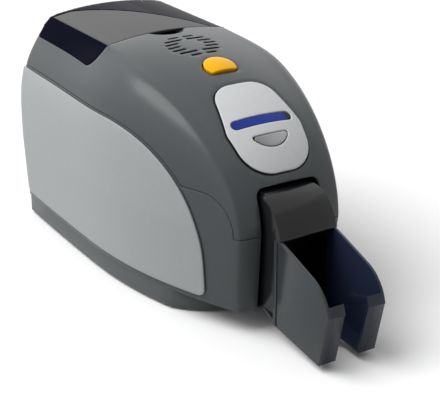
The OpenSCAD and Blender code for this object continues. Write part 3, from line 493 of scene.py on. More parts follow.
def makeMaterial(name, color, rough, **more):
    look = {**plainLook, **more}
    mat = bpy.data.materials.new(name)
    mat.use_nodes = True
    tree = mat.node_tree
    link = tree.links.new
    shader = tree.nodes["Principled BSDF"]
    shader.inputs["Base Color"].default_value = (*color, 1)
    shader.inputs["Roughness"].default_value = rough
    shader.inputs["Metallic"].default_value = look["metal"]
    shader.inputs["Specular IOR Level"].default_value = look["spec"]
    shader.inputs["IOR"].default_value = look["ior"]
    shader.inputs["Specular Tint"].default_value = (*look["sheenTone"], 1)
    coord = tree.nodes.new("ShaderNodeTexCoord")
    place = tree.nodes.new("ShaderNodeMapping")
    place.inputs["Scale"].default_value = look["stretch"]
    link(coord.outputs["Object"], place.inputs["Vector"])

    def noise(scale, detail):
        node = tree.nodes.new("ShaderNodeTexNoise")
        node.inputs["Scale"].default_value = scale
        node.inputs["Detail"].default_value = detail
        link(place.outputs["Vector"], node.inputs["Vector"])
        return node

    grain = noise(look["grainScale"], 4)
    bump = tree.nodes.new("ShaderNodeBump")
    bump.inputs["Strength"].default_value = look["grain"]
    bump.inputs["Distance"].default_value = look["grainDeep"]
    link(grain.outputs["Fac"], bump.inputs["Height"])
    link(bump.outputs["Normal"], shader.inputs["Normal"])
    cloud = noise(look["varyScale"], 3)
    span = tree.nodes.new("ShaderNodeMapRange")
    span.inputs["To Min"].default_value = max(0, rough - look["vary"])
    span.inputs["To Max"].default_value = rough + look["vary"]
    link(cloud.outputs["Fac"], span.inputs["Value"])
    link(span.outputs["Result"], shader.inputs["Roughness"])
    ramp = tree.nodes.new("ShaderNodeValToRGB")
    stops = look["stops"]
    if stops:
        split = tree.nodes.new("ShaderNodeSeparateXYZ")
        reach = tree.nodes.new("ShaderNodeMapRange")
        reach.inputs["From Min"].default_value, reach.inputs["From Max"].default_value = look["sweep"]
        link(coord.outputs["Object"], split.inputs["Vector"])
        link(split.outputs["X"], reach.inputs["Value"])
        link(reach.outputs["Result"], ramp.inputs["Fac"])
    else:
        speck = noise(look["speckScale"], 5)
        link(speck.outputs["Fac"], ramp.inputs["Fac"])
        dark = [c * (1 - look["tint"]) for c in color]
        pale = [min(1, c * (1 + look["tint"])) for c in color]
        stops = [(0.3, dark), (0.7, pale)]
    while len(ramp.color_ramp.elements) < len(stops):
        ramp.color_ramp.elements.new(0.5)
    for element, (at, tone) in zip(ramp.color_ramp.elements, stops):
        element.position = at
        element.color = (*tone, 1)
    link(ramp.outputs["Color"], shader.inputs["Base Color"])
    return mat


finishes = {
    "bodyGrey": makeMaterial("mouldedDarkGrey", (0.055, 0.0635, 0.0675), 0.30,
                             grain=0.04, tint=0.03, spec=0.36),
    "panGrey": makeMaterial("panGrey", (0.090, 0.100, 0.104), 0.38, grain=0.06, tint=0.03, spec=0.26),
    "panelSilver": makeMaterial("mouldedSilver", (0.37, 0.388, 0.393), 0.42,
                                grain=0.08, vary=0.04, tint=0.02, spec=0.3),
    "bezelSilver": makeMaterial("bezelSilver", (0.62, 0.635, 0.64), 0.34, tint=0.02, spec=0.3),
    # the window's blue is painted darker towards both ends and near black at its right end: painted shade
    "screenBluePaintedShade": makeMaterial("screenBluePaintedShade", (0.016, 0.040, 0.32), 0.10, spec=0.15, sweep=(-0.033, 0.033), stops=[
        (0.0, (0.008, 0.024, 0.18)), (0.12, (0.012, 0.034, 0.27)), (0.6, (0.014, 0.040, 0.32)),
        (0.86, (0.012, 0.034, 0.27)), (0.93, (0.004, 0.008, 0.04)), (1.0, (0.003, 0.005, 0.02))]),
    "keyYellow": makeMaterial("keyYellow", (0.95, 0.47, 0.0), 0.22, grain=0.02, tint=0.02, spec=0.12),
    # the half-moon key runs from dark on one side to light on the other: painted shade and painted highlight
    "keyGreyPaintedLight": makeMaterial("keyGreyPaintedLight", (0.30, 0.31, 0.32), 0.3, grain=0.03, sweep=(-0.022, 0.022), stops=[
        (0.0, (0.16, 0.165, 0.17)), (0.5, (0.34, 0.35, 0.36)), (1.0, (0.48, 0.49, 0.50))]),
    "smoked": makeMaterial("smokedPlastic", (0.0015, 0.002, 0.009), 0.08,
                           grain=0.002, tint=0.1, vary=0.02, spec=0.008, sheenTone=(0.3, 0.45, 1.0)),
    # the hopper's left wall, which faces the lamps, is painted a lighter slate grey than the navy of the rest:
    # painted light
    "hopper": makeMaterial("smokedHopperPaintedLight", (0.034, 0.042, 0.054), 0.18,
                           grain=0.01, vary=0.04, spec=0.3, sweep=(-0.034, 0.034), stops=[
        (0.0, (0.036, 0.042, 0.046)), (0.07, (0.036, 0.042, 0.046)),
        (0.14, (0.020, 0.025, 0.042)), (1.0, (0.016, 0.022, 0.048))]),
    "hood": makeMaterial("hoodPlastic", (0.008, 0.0085, 0.010), 0.16, grain=0.01, tint=0.06, spec=0.32),
    # the grey plate is painted lighter at its left and darker towards its right: painted shade
    "plateGreyPaintedShade": makeMaterial("plateGreyPaintedShade", (0.07, 0.072, 0.073), 0.34,
                              grain=0.06, spec=0.12, sweep=(-0.09, 0.06), stops=[
        (0.0, (0.085, 0.086, 0.087)), (0.45, (0.05, 0.051, 0.052)), (1.0, (0.014, 0.0145, 0.015))]),
    "innerDark": makeMaterial("innerDark", (0.03, 0.03, 0.033), 0.5, grain=0.1, vary=0.05),
    "black": makeMaterial("blackPlastic", (0.012, 0.012, 0.013), 0.4, grain=0.08, vary=0.05),
    "white": makeMaterial("whitePlastic", (0.72, 0.72, 0.70), 0.4, vary=0.04),
    "rubber": makeMaterial("rubber", (0.018, 0.018, 0.018), 0.75, grain=0.3, vary=0.05),
    "blueRubber": makeMaterial("blueRubber", (0.03, 0.12, 0.42), 0.45, grain=0.1, vary=0.05),
    "steel": makeMaterial("sheetSteel", (0.55, 0.56, 0.57), 0.34,
                          metal=1, vary=0.08, varyScale=60, stretch=(1, 0.15, 1)),
    "chrome": makeMaterial("brightSteel", (0.72, 0.72, 0.73), 0.18,
                           metal=1, vary=0.05, varyScale=80, grain=0.02),
    "aluminium": makeMaterial("aluminium", (0.66, 0.67, 0.69), 0.32,
                              metal=1, grain=0.06, vary=0.06, varyScale=50, stretch=(0.2, 1, 1)),
    "board": makeMaterial("boardGreen", (0.012, 0.10, 0.035), 0.35, vary=0.05, varyScale=120, tint=0.15),
    "ribbon": makeMaterial("ribbonFilm", (0.06, 0.015, 0.08), 0.15, vary=0.04, grain=0.02),
}
slotFinish = {
    "body_grey": "bodyGrey", "panel_silver": "panelSilver", "bezel_silver": "bezelSilver",
    "display_blue": "screenBluePaintedShade", "yellow_plastic": "keyYellow", "smoked_plastic": "smoked",
    "hood_black": "hood", "plate_grey": "plateGreyPaintedShade", "dark_plastic": "innerDark", "black_plastic": "black",
    "white_plastic": "white", "rubber": "rubber", "blue_rubber": "blueRubber", "steel": "steel",
    "chrome": "chrome", "aluminium": "aluminium", "board_green": "board", "ribbon": "ribbon",
}


def dress(piece, finishName):
    piece.data.materials.clear()
    piece.data.materials.append(finishes[finishName])


for part in frame["record"]["subparts"]:
    dress(nodes[part["node"]], slotFinish[part["material_slot"]])
print("materials made:", len(finishes))

# the seams: all but the panel's front curve as in the solids
cut = {
    "panelTop": 173, "panelBottom": 28, "panelProud": 2.5, "panelGap": 1.5,
    "frontFrom": 48, "frontLong": 139.5, "frontHigh": 113, "frontPower": 2.2,
    "shoulderTop": 133.8, "shoulderR": 36, "shoulderFrom": 42,
    "feederFrom": 2, "feederZ": 204, "feederR": 17,
    "mouthHalf": 34.4, "mouthTop": 140.5, "mouthBottom": 24.6, "mouthRound": 8, "mouthStep": 1.2,
}
arcY = browY - cut["frontFrom"]
arcZ = cut["panelTop"] - cut["frontHigh"]
splitZ = cut["panelTop"] + cut["panelGap"]
shoulderY = noseY + cut["shoulderFrom"]
feederY = browY + cut["feederFrom"]
nudge = form["seam"] / 2
creaseStep = 2.5


def creaseRun(s0, s1):
    n = max(2, int(abs(s1 - s0) / creaseStep + 0.5))
    return np.linspace(s0, s1, n + 1)


def creaseInSide(run):
    y, z = edgeAt(np.asarray(run))[:2]
    return list(zip(y.tolist(), z.tolist()))


def creaseInFlat(run):
    # the left and the right crease in the spine's flat
    half = [float(halfW(*edgeAt(s)[:2])) for s in run]
    return [(s, -h) for s, h in zip(run, half)], [(s, h) for s, h in zip(run, half)]


def arcAtHeight(z, x):
    # arc length where the spine at x reaches the height z, on its front half
    lo, hi = edgeArc[0], arcAtY(browY)
    for _ in range(50):
        mid = (lo + hi) / 2
        if float(spine(mid, x)[2]) > z:
            hi = mid
        else:
            lo = mid
    return (lo + hi) / 2


def frontCurve(grow, z0=None, step=2.0):
    # the big front curve of a panel, grown by grow, from its top down to the height z0
    a, b, p = cut["frontLong"], cut["frontHigh"], cut["frontPower"]
    w = np.radians(np.linspace(90, 0, 400))
    y = -a * np.abs(np.cos(w)) ** (2 / p)
    z = b * np.abs(np.sin(w)) ** (2 / p)
    ny = -np.abs(y / a) ** (p - 1) / a
    nz = np.abs(z / b) ** (p - 1) / b
    size = np.hypot(ny, nz)
    y, z = arcY + y + grow * ny / size, arcZ + z + grow * nz / size
    if z0 is not None:
        end = float(np.interp(-z0, -z, y))
        keep = z > z0
        y, z = np.append(y[keep], end), np.append(z[keep], z0)
    run = runAlong(np.stack([y, z], -1))
    at = np.linspace(0, run[-1], int(run[-1] / step) + 2)
    return list(zip(np.interp(at, run, y).tolist(), np.interp(at, run, z).tolist()))


def housingTopPath(gap):
    # the seam under the top cover from the nose to the back, in y and z
    z0 = form["beltZ"] + gap
    c = (shoulderY, cut["shoulderTop"] - cut["shoulderR"])
    r = cut["shoulderR"] + gap
    zTop = cut["shoulderTop"] + gap
    curve = frontCurve(cut["panelGap"] + gap, zTop)[::-1]
    a = 180 - math.degrees(math.asin((z0 - c[1]) / r))
    first = (c[0] + r * math.cos(math.radians(a)), z0)
    return joinPaths(linePoints((noseY, z0), first), arcPoints(c, r, a, 90),
                     linePoints((c[0], zTop), (curve[0][0], zTop)), curve,
                     linePoints(curve[-1], (float(rearFace(splitZ + gap)), splitZ + gap)))


def feederPath(g):
    # the seam round the smoked cover's side, from the spine down and back, in y and z
    r = cut["feederR"] + g
    c = (feederY + cut["feederR"], cut["feederZ"] + cut["feederR"])
    low = cut["feederZ"] - g
    return joinPaths(linePoints((feederY - g, topZ), (feederY - g, c[1])), arcPoints(c, r, 180, 270),
                     linePoints((c[0], low), (float(rearFace(low)), low)))


def rearLine(z0, z1, step=3.0):
    return linePoints((float(rearFace(z0)), z0), (float(rearFace(z1)), z1), step)


# what is set into the spine: each outline in x and the distance v up the slope from its own middle, which lies
# a share of the nose's length before the brow; display and key follow the object closer than the solids do
middles = {"display": 0.765, "release": 0.405, "vents": 0.215}
sDisplay, sRelease, sVent = (arcAtY(browY - form["noseLen"] * middles[k]) for k in ("display", "release", "vents"))
display = {
    "h": 100, "w": 80, "topR": 22, "topIn": 29, "topDown": 23,
    "waistR": 16, "waistDown": 0.12, "lowR": 30, "lowIn": 32, "arcStep": 0.6,
    "lensL": 65, "lensH": 9.3, "lensV": 1.8, "lensStep": 0.5,
    "moonR": 22, "moonH": 12, "moonV": -14.2, "moonCorner": 2.4,
}
releaseShape = {"r": 16.5, "v": -9, "low": -18.4, "corner": 3.0, "arcStep": 0.6}
vents = {"ring": 27, "core": 13, "pitch": 7.6, "w": 3.2, "rib": 2.4, "least": 2, "rows": 3, "arcStep": 0.7}


def shieldLoop(g, step=1.0):
    h = display["h"] / 2 + g
    w = display["w"] / 2 + g
    circles = ((w - display["topIn"], h - display["topDown"], display["topR"]),
               (w - display["waistR"], -display["waistDown"] * h, display["waistR"]),
               (w - display["lowIn"], display["lowR"] - h, display["lowR"]))
    pts = []
    for sign in (-1, 1):
        for x, v, r in circles:
            pts += arcPoints((sign * x, v), r, 0, 360, display["arcStep"])
    return respace(hullOf(pts), step)


def releaseLoop(g, step=1.2):
    corner = releaseShape["corner"]
    r = releaseShape["r"] + g - corner
    c = (0, releaseShape["v"])
    a = math.degrees(math.asin((releaseShape["low"] - g + corner - c[1]) / r))
    return respace(rounded(arcPoints(c, r, a, 180 - a, releaseShape["arcStep"]), corner), step)


def moonLoop(g, step=0.8):
    h = g - display["moonCorner"]
    r = display["moonR"] + h
    c = (0, display["moonR"] - display["moonH"])
    a = math.degrees(math.asin((h - c[1]) / r))
    return respace(rounded(arcPoints(c, r, a, -180 - a, display["arcStep"]), display["moonCorner"]), step)


def slotLoop(x0, x1, v, r, step):
    return arcPoints((x1, v), r, -90, 90, step) + arcPoints((x0, v), r, 90, 270, step)


def lensLoop(g, step=1.2):
    half = (display["lensL"] - display["lensH"]) / 2
    return respace(slotLoop(-half, half, 0, display["lensH"] / 2 + g, display["lensStep"]), step)


def ventLoops():
    # two slots in each row, between a round core and a ring
    loops = []
    r = vents["w"] / 2
    for k in range(-vents["rows"], vents["rows"] + 1):
        v = k * vents["pitch"]
        out = math.sqrt(max(0, vents["ring"] ** 2 - v * v))
        core = math.sqrt(vents["core"] ** 2 - v * v) if abs(v) < vents["core"] else vents["rib"]
        x0 = core + r
        x1 = max(out - r, x0 + vents["least"])
        loops += [slotLoop(a, b, v, r, vents["arcStep"]) for a, b in ((-x1, -x0), (x0, x1))]
    return loops


def toFlat(loop, s, v0=0.0):
    # an outline in x and v, placed on the spine's flat round the arc length s
    return [(s + v0 + v, x) for x, v in loop]


# the finger notch in front of the smoked cover, part of a ball
scoop = {"y": feederY + 6, "z": topZ + form["crown"] + 33, "r": 40}


def scooped(points):
    points = np.array(points, float)
    flat = scoop["r"] ** 2 - points[:, 0] ** 2 - (points[:, 1] - scoop["y"]) ** 2
    low = np.where(flat > 0, scoop["z"] - np.sqrt(np.maximum(flat, 0)), 1e9)
    points[:, 2] = np.minimum(points[:, 2], low)
    return points


# the cover sinks round the display panel and the release key
rim = {"wide": 5.0, "deep": 1.3, "panelGap": 1.0, "keyGap": 0.5, "step": 2.0}


def sunkRim(flat):
    sink = np.zeros(len(flat))
    for loop in (toFlat(shieldLoop(rim["panelGap"], rim["step"]), sDisplay),
                 toFlat(releaseLoop(rim["keyGap"], rim["step"]), sRelease)):
        loop = np.array(loop)
        gap = np.array([np.min(np.hypot(loop[:, 0] - p[0], loop[:, 1] - p[1])) for p in flat])
        share = np.clip(1 - gap / rim["wide"], 0, 1)
        sink = np.maximum(sink, rim["deep"] * share * share)
    return sink


# where the moulding is softened along its crease
soft = {
    "reach": 5.5, "overBelt": 4, "overTop": 1, "beforeRear": 8,
    "overBase": 3, "cornerTop": 2, "behindNose": 12,
}


def nearCrease(co):
    x, y, z = abs(co.x), co.y, co.z
    if z < form["beltZ"] + soft["overBelt"] or z > topZ + soft["overTop"] and y > rearY - soft["beforeRear"]:
        return False
    if y < browY:
        a = math.atan2((z - form["beltZ"]) / form["noseRise"], (browY - y) / form["noseLen"])
        ey = browY - form["noseLen"] * math.cos(a)
        ez = form["beltZ"] + form["noseRise"] * math.sin(a)
    else:
        ey, ez = y, topZ
    return math.sqrt((x - float(edgeHalf(y))) ** 2 + (y - ey) ** 2 + (z - ez) ** 2) < soft["reach"]


def nearFrontEdge(co):
    # the upright edges at both sides of the nose, under the cover
    if co.z < form["baseZ"] + soft["overBase"] or co.z > form["beltZ"] + soft["cornerTop"]:
        return False
    return abs(abs(co.x) - form["noseW"] / 2) < soft["reach"] and co.y < noseY + soft["behindNose"]


def makeShell(bm, name, near, centre=(0, 0.06, 0.1), angle=shellEdge["sharp"]):
    # patches become one walled moulding
    bmesh.ops.remove_doubles(bm, verts=bm.verts, dist=0.05 * mm)
    softenEdge(bm, near)
    faceOut(bm, centre)
    piece = finish(bm, name)
    thicken(piece, form["wall"], shellEdge["round"], shellEdge["segments"], angle)
    return piece


coverMake = {
    "sideStep": 4.0, "spineStep": 4.0, "rearStep": 5,
    # round patches with finer triangles: arc length, x, radius, step
    "fine": [(arcAtY(feederY) - 8, 0, 30, 1.6), (sDisplay, 0, 60, 2.2), (sRelease - 8, 0, 26, 2.0)],
}


def mouthPath():
    # the top of the mouth in x and z, from left to right
    half, top, r, step = (cut[k] for k in ("mouthHalf", "mouthTop", "mouthRound", "mouthStep"))
    return arcPoints((-half + r, top - r), r, 180, 90, step) + arcPoints((half - r, top - r), r, 90, 0, step)


def makeTopCover():
    bm = bmesh.new()
    z0 = form["beltZ"] + form["seam"]
    run = creaseRun(arcAtHeight(z0, form["noseW"] / 2), arcAtY(feederY - nudge))
    crease = creaseInSide(run)
    under = housingTopPath(form["seam"])
    under[0] = crease[0]
    feed = feederPath(nudge)
    feed[0] = crease[-1]
    rearEdge = rearLine(cut["feederZ"] - nudge, splitZ + form["seam"])
    loop = joinPaths(crease, closeUp(feed), rearEdge, closeUp(under)[::-1])
    addSides(bm, fillSide(loop, coverMake["sideStep"]))
    left, right = creaseInFlat(run)
    mouth = [(arcAtHeight(z, x), x) for x, z in mouthPath()]
    footL = (arcAtHeight(z0, -cut["mouthHalf"]), -cut["mouthHalf"])
    footR = (footL[0], cut["mouthHalf"])
    loop = joinPaths(linePoints(left[0], footL), linePoints(footL, mouth[0]), mouth,
                     linePoints(mouth[-1], footR), linePoints(footR, right[0]), right,
                     linePoints(right[-1], left[-1]), left[::-1])
    holes = [toFlat(shieldLoop(rim["panelGap"]), sDisplay), toFlat(releaseLoop(rim["keyGap"]), sRelease)]
    holes += [toFlat(slot, sVent) for slot in ventLoops()]
    region = fillRegion(loop, holes, coverMake["spineStep"], coverMake["fine"])
    addPatch(bm, region, lambda f: scooped(onSpine(f, -sunkRim(f))))
    addRear(bm, rearEdge, coverMake["rearStep"])
    piece = makeShell(bm, "coverShell", nearCrease)
    dress(piece, "bodyGrey")
    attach(piece, "cover")
    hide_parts("top_cover")


makeTopCover()
print("top cover made")

housingMake = {"sideStep": 5, "spineStep": 4.5, "wallStep": 6, "edgeStep": 4, "sharp": 70}
pan = {"r": 99.5, "turnFrom": 86, "rearIn": 2, "sideIn": 0.5, "clear": 1.2, "rearStep": 5}
# openings in the rear wall: middle x, half width, and the reach down and up from the height portZ
portZ = 41
ports = {
    "inlet": (78, 7.3, 5.8, 5.8), "data": (62, 6.3, 5.8, 5.8),
    "network": (45, 8.3, 5.8, 8.3), "switch": (-66, 7.4, 10.8, 10.8),
}
grille = {"half": 30, "low": 70, "high": 3, "pitch": 9, "rows": 6}


def boxLoop(x0, x1, z0, z1):
    corners = [(x0, z0), (x1, z0), (x1, z1), (x0, z1)]
    return joinPaths(*[linePoints(p, q) for p, q in zip(corners, corners[1:] + corners[:1])])


def panLoop(inset):
    # outline of the base pan in x and y
    r = pan["r"] - inset
    turnY = browY - pan["turnFrom"]
    front = turnY - r * np.cos(np.radians(np.linspace(0, 90, 40)))
    rows = []
    for y in np.concatenate([front, np.linspace(turnY, rearY - pan["rearIn"] - inset, 40)[1:]]):
        x = float(halfW(y, form["baseZ"])) - pan["sideIn"] - inset
        if y < turnY:
            x = min(x, math.sqrt(max(0, r * r - (y - turnY) ** 2)))
        rows.append((x, float(y)))
    rear = linePoints(rows[-1], (-rows[-1][0], rows[-1][1]), pan["rearStep"])
    return joinPaths(rows, rear, [(-x, y) for x, y in rows[::-1]])


def makeHousing():
    bm = bmesh.new()
    baseZ, edgeStep = form["baseZ"], housingMake["edgeStep"]
    run = creaseRun(edgeArc[0], 0)
    crease = creaseInSide(run)
    top = housingTopPath(0.0)
    top[0] = crease[-1]
    rearEdge = rearLine(splitZ, baseZ, edgeStep)
    bottom = closeUp(linePoints(rearEdge[-1], crease[0], edgeStep), edgeStep)
    addSides(bm, fillSide(joinPaths(crease, closeUp(top), rearEdge, bottom), housingMake["sideStep"]))
    # front wall with the foot of the mouth
    left, right = creaseInFlat(run)
    half = cut["mouthHalf"]
    low, high = arcAtHeight(cut["mouthBottom"], 0), run[-1]
    loop = joinPaths(left, linePoints(left[-1], (high, -half)), linePoints((high, -half), (low, -half)),
                     linePoints((low, -half), (low, half)), linePoints((low, half), (high, half)),
                     linePoints((high, half), right[-1]), right[::-1],
                     linePoints(right[0], left[0], edgeStep))
    addPatch(bm, fillRegion(loop, step=housingMake["spineStep"]), onSpine)
    holes = [boxLoop(x - w, x + w, portZ - down, portZ + up) for x, w, down, up in ports.values()]
    for i in range(grille["rows"]):
        low = grille["low"] + i * grille["pitch"]
        holes.append(boxLoop(-grille["half"], grille["half"], low, low + grille["high"]))
    addRear(bm, rearEdge, housingMake["wallStep"], holes, edgeStep)
    # underside outside the base pan
    edgeY = [p[0] for p in bottom]
    ends = halfW(np.array(edgeY), baseZ)
    frontX = np.linspace(right[0][1], left[0][1], int(right[0][1] / 2) + 1)
    front = spine(np.full(len(frontX), edgeArc[0]), frontX)[:, :2]
    loop = joinPaths(zip(ends, edgeY), front, zip(-ends[::-1], edgeY[::-1]),
                     linePoints((-ends[0], edgeY[0]), (ends[0], edgeY[0]), edgeStep))
    region = fillRegion(loop, [panLoop(form["wall"] + pan["clear"])], housingMake["wallStep"])
    addPatch(bm, region, lambda f: np.stack([f[:, 0], f[:, 1], 0 * f[:, 0] + baseZ], -1))
    piece = makeShell(bm, "housingShell", nearFrontEdge, angle=housingMake["sharp"])
    dress(piece, "bodyGrey")
    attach(piece, "base")
    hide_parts("main_housing")


makeHousing()
print("housing made")

panelMake = {"r": 8, "rearIn": 0.3, "clear": 0.3, "step": 4, "round": 0.8, "segments": 3}


def makePanels():
    r, step = panelMake["r"], panelMake["step"]
    frontY = arcY - cut["frontLong"]
    backY = float(rearFace(cut["panelTop"])) - panelMake["rearIn"]
    z0, z1 = cut["panelBottom"], cut["panelTop"]
    loop = joinPaths(linePoints((backY, z0 + r), (backY, z1)), linePoints((backY, z1), (arcY, z1)),
                     frontCurve(0, arcZ), linePoints((frontY, arcZ), (frontY, z0 + r)),
                     arcPoints((frontY + r, z0 + r), r, 180, 270),
                     linePoints((frontY + r, z0), (backY - r, z0)),
                     arcPoints((backY - r, z0 + r), r, 270, 360))
    region = fillSide(closeUp(loop + loop[:1], step)[:-1], step)
    for sign, name, node in ((-1, "panelLeft", "side_panel_left"), (1, "panelRight", "side_panel_right")):
        bm = bmesh.new()
        addPatch(bm, region, lambda f: side(f[:, 0], f[:, 1], sign, cut["panelProud"]))
        faceToward(bm, (sign, 0, 0))
        piece = finish(bm, name)
        thicken(piece, cut["panelProud"] - panelMake["clear"], panelMake["round"], panelMake["segments"])
        dress(piece, "panelSilver")
        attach(piece, "base")
        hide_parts(node)


makePanels()
print("side panels made")

# the smoked cover, with an opening for its grey plate; the centre, in metres, is a point inside the shell
feederMake = {"sideStep": 3.5, "spineStep": 3.5, "rearStep": 4, "centre": (0, 0.16, 0.15)}
# the plate's curved edge is part of a circle round x and y
plate = {
    "x": browY - 263.5, "y": browY - 70.5, "r": 238, "half": 66, "sideIn": 1, "rearIn": 12, "gap": 0.3,
    "stations": 200, "step": 2.0,
}


def plateLoop(g):
    # outline of the grey plate in x and y
    r = plate["r"] + g
    x0 = -form["spineW"] / 2 + plate["sideIn"] - g
    y0 = feederY + nudge
    y1 = rearFace(topZ) - plate["rearIn"] + g
    pts = []
    for x in np.linspace(-plate["half"], plate["half"], plate["stations"]):
        if abs(x - plate["x"]) < r:
            y = plate["y"] + math.sqrt(r * r - (x - plate["x"]) ** 2)
            if x >= x0 and y > y0:
                pts.append((x, min(y, y1)))
    pts.append((plate["x"] + math.sqrt(r * r - (y0 - plate["y"]) ** 2), y0))
    return respace(joinPaths([(x0, y0), (x0, pts[0][1])], pts, [(x0, y0)]), plate["step"])


def plateNotch(s0):
    # the plate reaches the front seam at s0, so the cover's spine has a notch there, open to the front:
    # its path from right to left
    hole = [(max(arcAtY(y), s0 + 0.02), x) for x, y in plateLoop(plate["gap"])]
    x0 = min(x for s, x in hole)
    x1 = max(x for s, x in hole if s < s0 + 0.5)
    notch = [(s, x) for s, x in hole if s > s0 + 0.5]
    start = min(range(len(notch)), key=lambda i: (notch[i][1] > 0, notch[i][0]))  # the left one next to the seam
    notch = notch[start:] + notch[:start]
    if notch[1][0] < notch[0][0]:
        notch = notch[::-1]
    if notch[0][1] < 0:
        notch = notch[::-1]
    return [(s0, x1)] + notch + [(s0, x0)]


def makeFeederCover():
    bm = bmesh.new()
    rearTop = topZ - form["rearRound"]
    sRear = edgeArc[np.argmin(np.hypot(edgeRows[:, 0] - rearFace(rearTop), edgeRows[:, 1] - rearTop))]
    run = creaseRun(arcAtY(feederY + nudge), sRear)
    crease = creaseInSide(run)
    feed = feederPath(-nudge)
    feed[0] = crease[0]
    z0 = cut["feederZ"] + nudge
    rearEdge = linePoints((float(rearFace(z0)), z0), crease[-1])
    addSides(bm, fillSide(joinPaths(crease, rearEdge[::-1], closeUp(feed)[::-1]), feederMake["sideStep"]))
    left, right = creaseInFlat(run)
    notch = plateNotch(run[0])
    loop = joinPaths(left, linePoints(left[-1], right[-1]), right[::-1], linePoints(right[0], notch[0]),
                     notch[1:-1], linePoints(notch[-1], left[0]))
    addPatch(bm, fillRegion(loop, step=feederMake["spineStep"]), onSpine)
    addRear(bm, rearEdge, feederMake["rearStep"], lastHalf=right[-1][1])
    piece = makeShell(bm, "feederShell", nearCrease, feederMake["centre"])
    dress(piece, "smoked")
    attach(piece, "feeder_lid")
    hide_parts("feeder_cover")


def spinePatch(name, outer, holes, lift, make, finishName):
    # a piece laid on the spine: make holds its depth, edge radius, segments and triangle size
    bm = bmesh.new()
    addPatch(bm, fillRegion(outer, holes, make["step"]), lift)
    faceToward(bm, (0, 0, 1))
    piece = finish(bm, name)
    thicken(piece, make["deep"], make["round"], make["segments"])
    dress(piece, finishName)
    return piece


plateMake = {"deep": form["wall"], "round": shellEdge["round"], "segments": shellEdge["segments"], "step": 3.5}


def makePlate():
    loop = [(arcAtY(y), x) for x, y in plateLoop(0)]
    piece = spinePatch("feederPlate", loop, [], onSpine, plateMake, "plateGreyPaintedShade")
    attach(piece, "feeder_lid")
    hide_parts("feeder_plate")


makeFeederCover()
makePlate()
print("feeder cover and plate made")


def joinPieces(name, pieces):
    # several meshes in one object, each keeping its own finish
    bm = bmesh.new()
    mats = []
    for piece in pieces:
        start = len(mats)
        mesh = piece.data
        mats += list(mesh.materials)
        before = len(bm.faces)
        bm.from_mesh(mesh)
        bm.faces.ensure_lookup_table()
        for f in bm.faces[before:]:
            f.material_index += start
        bpy.data.objects.remove(piece)
        bpy.data.meshes.remove(mesh)
    joined = finish(bm, name)
    for mat in mats:
        joined.data.materials.append(mat)
    return joined


bezelMake = {
    "proud": 0.8, "deep": 2.0, "round": 0.8, "segments": 3, "step": 2.0, "lensGap": 0.3, "moonGap": 0.8,
}
bezelFlange = {"wider": 4.0, "down": 6.0, "deep": 2.0, "round": 0, "segments": 3, "step": 4, "edgeStep": 3}
windowMake = {"proud": 0.25, "deep": 4.0, "round": 0.4, "segments": 3, "step": 2.0}
moonMake = {"proud": 1.0, "deep": 9.0, "round": 0.7, "segments": 3, "step": 2.0}


def makeBezel():
    lens = toFlat(lensLoop(bezelMake["lensGap"]), sDisplay, display["lensV"])
    moon = toFlat(moonLoop(bezelMake["moonGap"]), sDisplay, display["moonV"])
    top = spinePatch("bezelTop", toFlat(shieldLoop(0), sDisplay), [lens, moon],
                     lambda f: onSpine(f, bezelMake["proud"]), bezelMake, "bezelSilver")
    # the flange under the bezel takes the dark inner finish so the groove round the bezel reads dark: painted
    # shade
    outer = toFlat(shieldLoop(bezelFlange["wider"], bezelFlange["edgeStep"]), sDisplay)
    flange = spinePatch("bezelFlange", outer, [lens, moon],
                        lambda f: onSpine(f, -bezelFlange["down"]), bezelFlange, "innerDark")
    piece = joinPieces("displayBezel", [top, flange])
    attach(piece, "cover")
    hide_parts("display_bezel")


def makeWindow():
    piece = spinePatch("displayWindow", toFlat(lensLoop(0), sDisplay, display["lensV"]), [],
                       lambda f: onSpine(f, windowMake["proud"]), windowMake, "screenBluePaintedShade")
    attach(piece, "cover")
    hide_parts("display_window")


def makeMoonKey():
    piece = spinePatch("halfMoonKey", toFlat(moonLoop(0), sDisplay, display["moonV"]), [],
                       lambda f: onSpine(f, moonMake["proud"]), moonMake, "keyGreyPaintedLight")
    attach(piece, "panel_key")
    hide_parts("panel_button")


# the yellow key's top is a dome across the slope; its flange and stem are out of sight
releaseMake = {"domeR": 56, "domeV": -6, "domeTop": 3.4, "crossR": 236, "slopeR": 332,
               "deep": 8.0, "round": 1.3, "segments": 4, "step": 2.0}
releaseFlange = {"wider": 2, "down": 4.2, "deep": 1.6, "round": 0.2, "segments": 3, "step": 2.0}
releaseStem = {"r": 2.9, "long": 16, "down": 15.8, "lean": 13.0, "sides": 32}


def releaseTop(flat):
    v = flat[:, 0] - sRelease
    x = flat[:, 1]
    r = releaseMake["domeR"]
    dome = releaseMake["domeTop"] - r + np.sqrt(r * r - x * x - (v - releaseMake["domeV"]) ** 2)
    return onSpine(flat, dome + x * x / (2 * releaseMake["crossR"]) + v * v / (2 * releaseMake["slopeR"]))


def makeStem():
    bm = bmesh.new()
    r, lean = releaseStem["r"] * mm, math.radians(releaseStem["lean"])
    up = Vector((0, -math.sin(lean), math.cos(lean)))
    middle = Vector(spine(sRelease, 0.0).tolist()) - up * releaseStem["down"]
    bmesh.ops.create_cone(bm, cap_ends=True, segments=releaseStem["sides"], radius1=r, radius2=r,
                          depth=releaseStem["long"] * mm)
    turn = up.to_track_quat("Z", "Y").to_matrix().to_4x4()
    turn.translation = middle * mm
    bmesh.ops.transform(bm, matrix=turn, verts=bm.verts)
    piece = finish(bm, "releaseStem")
    dress(piece, "keyYellow")
    return piece


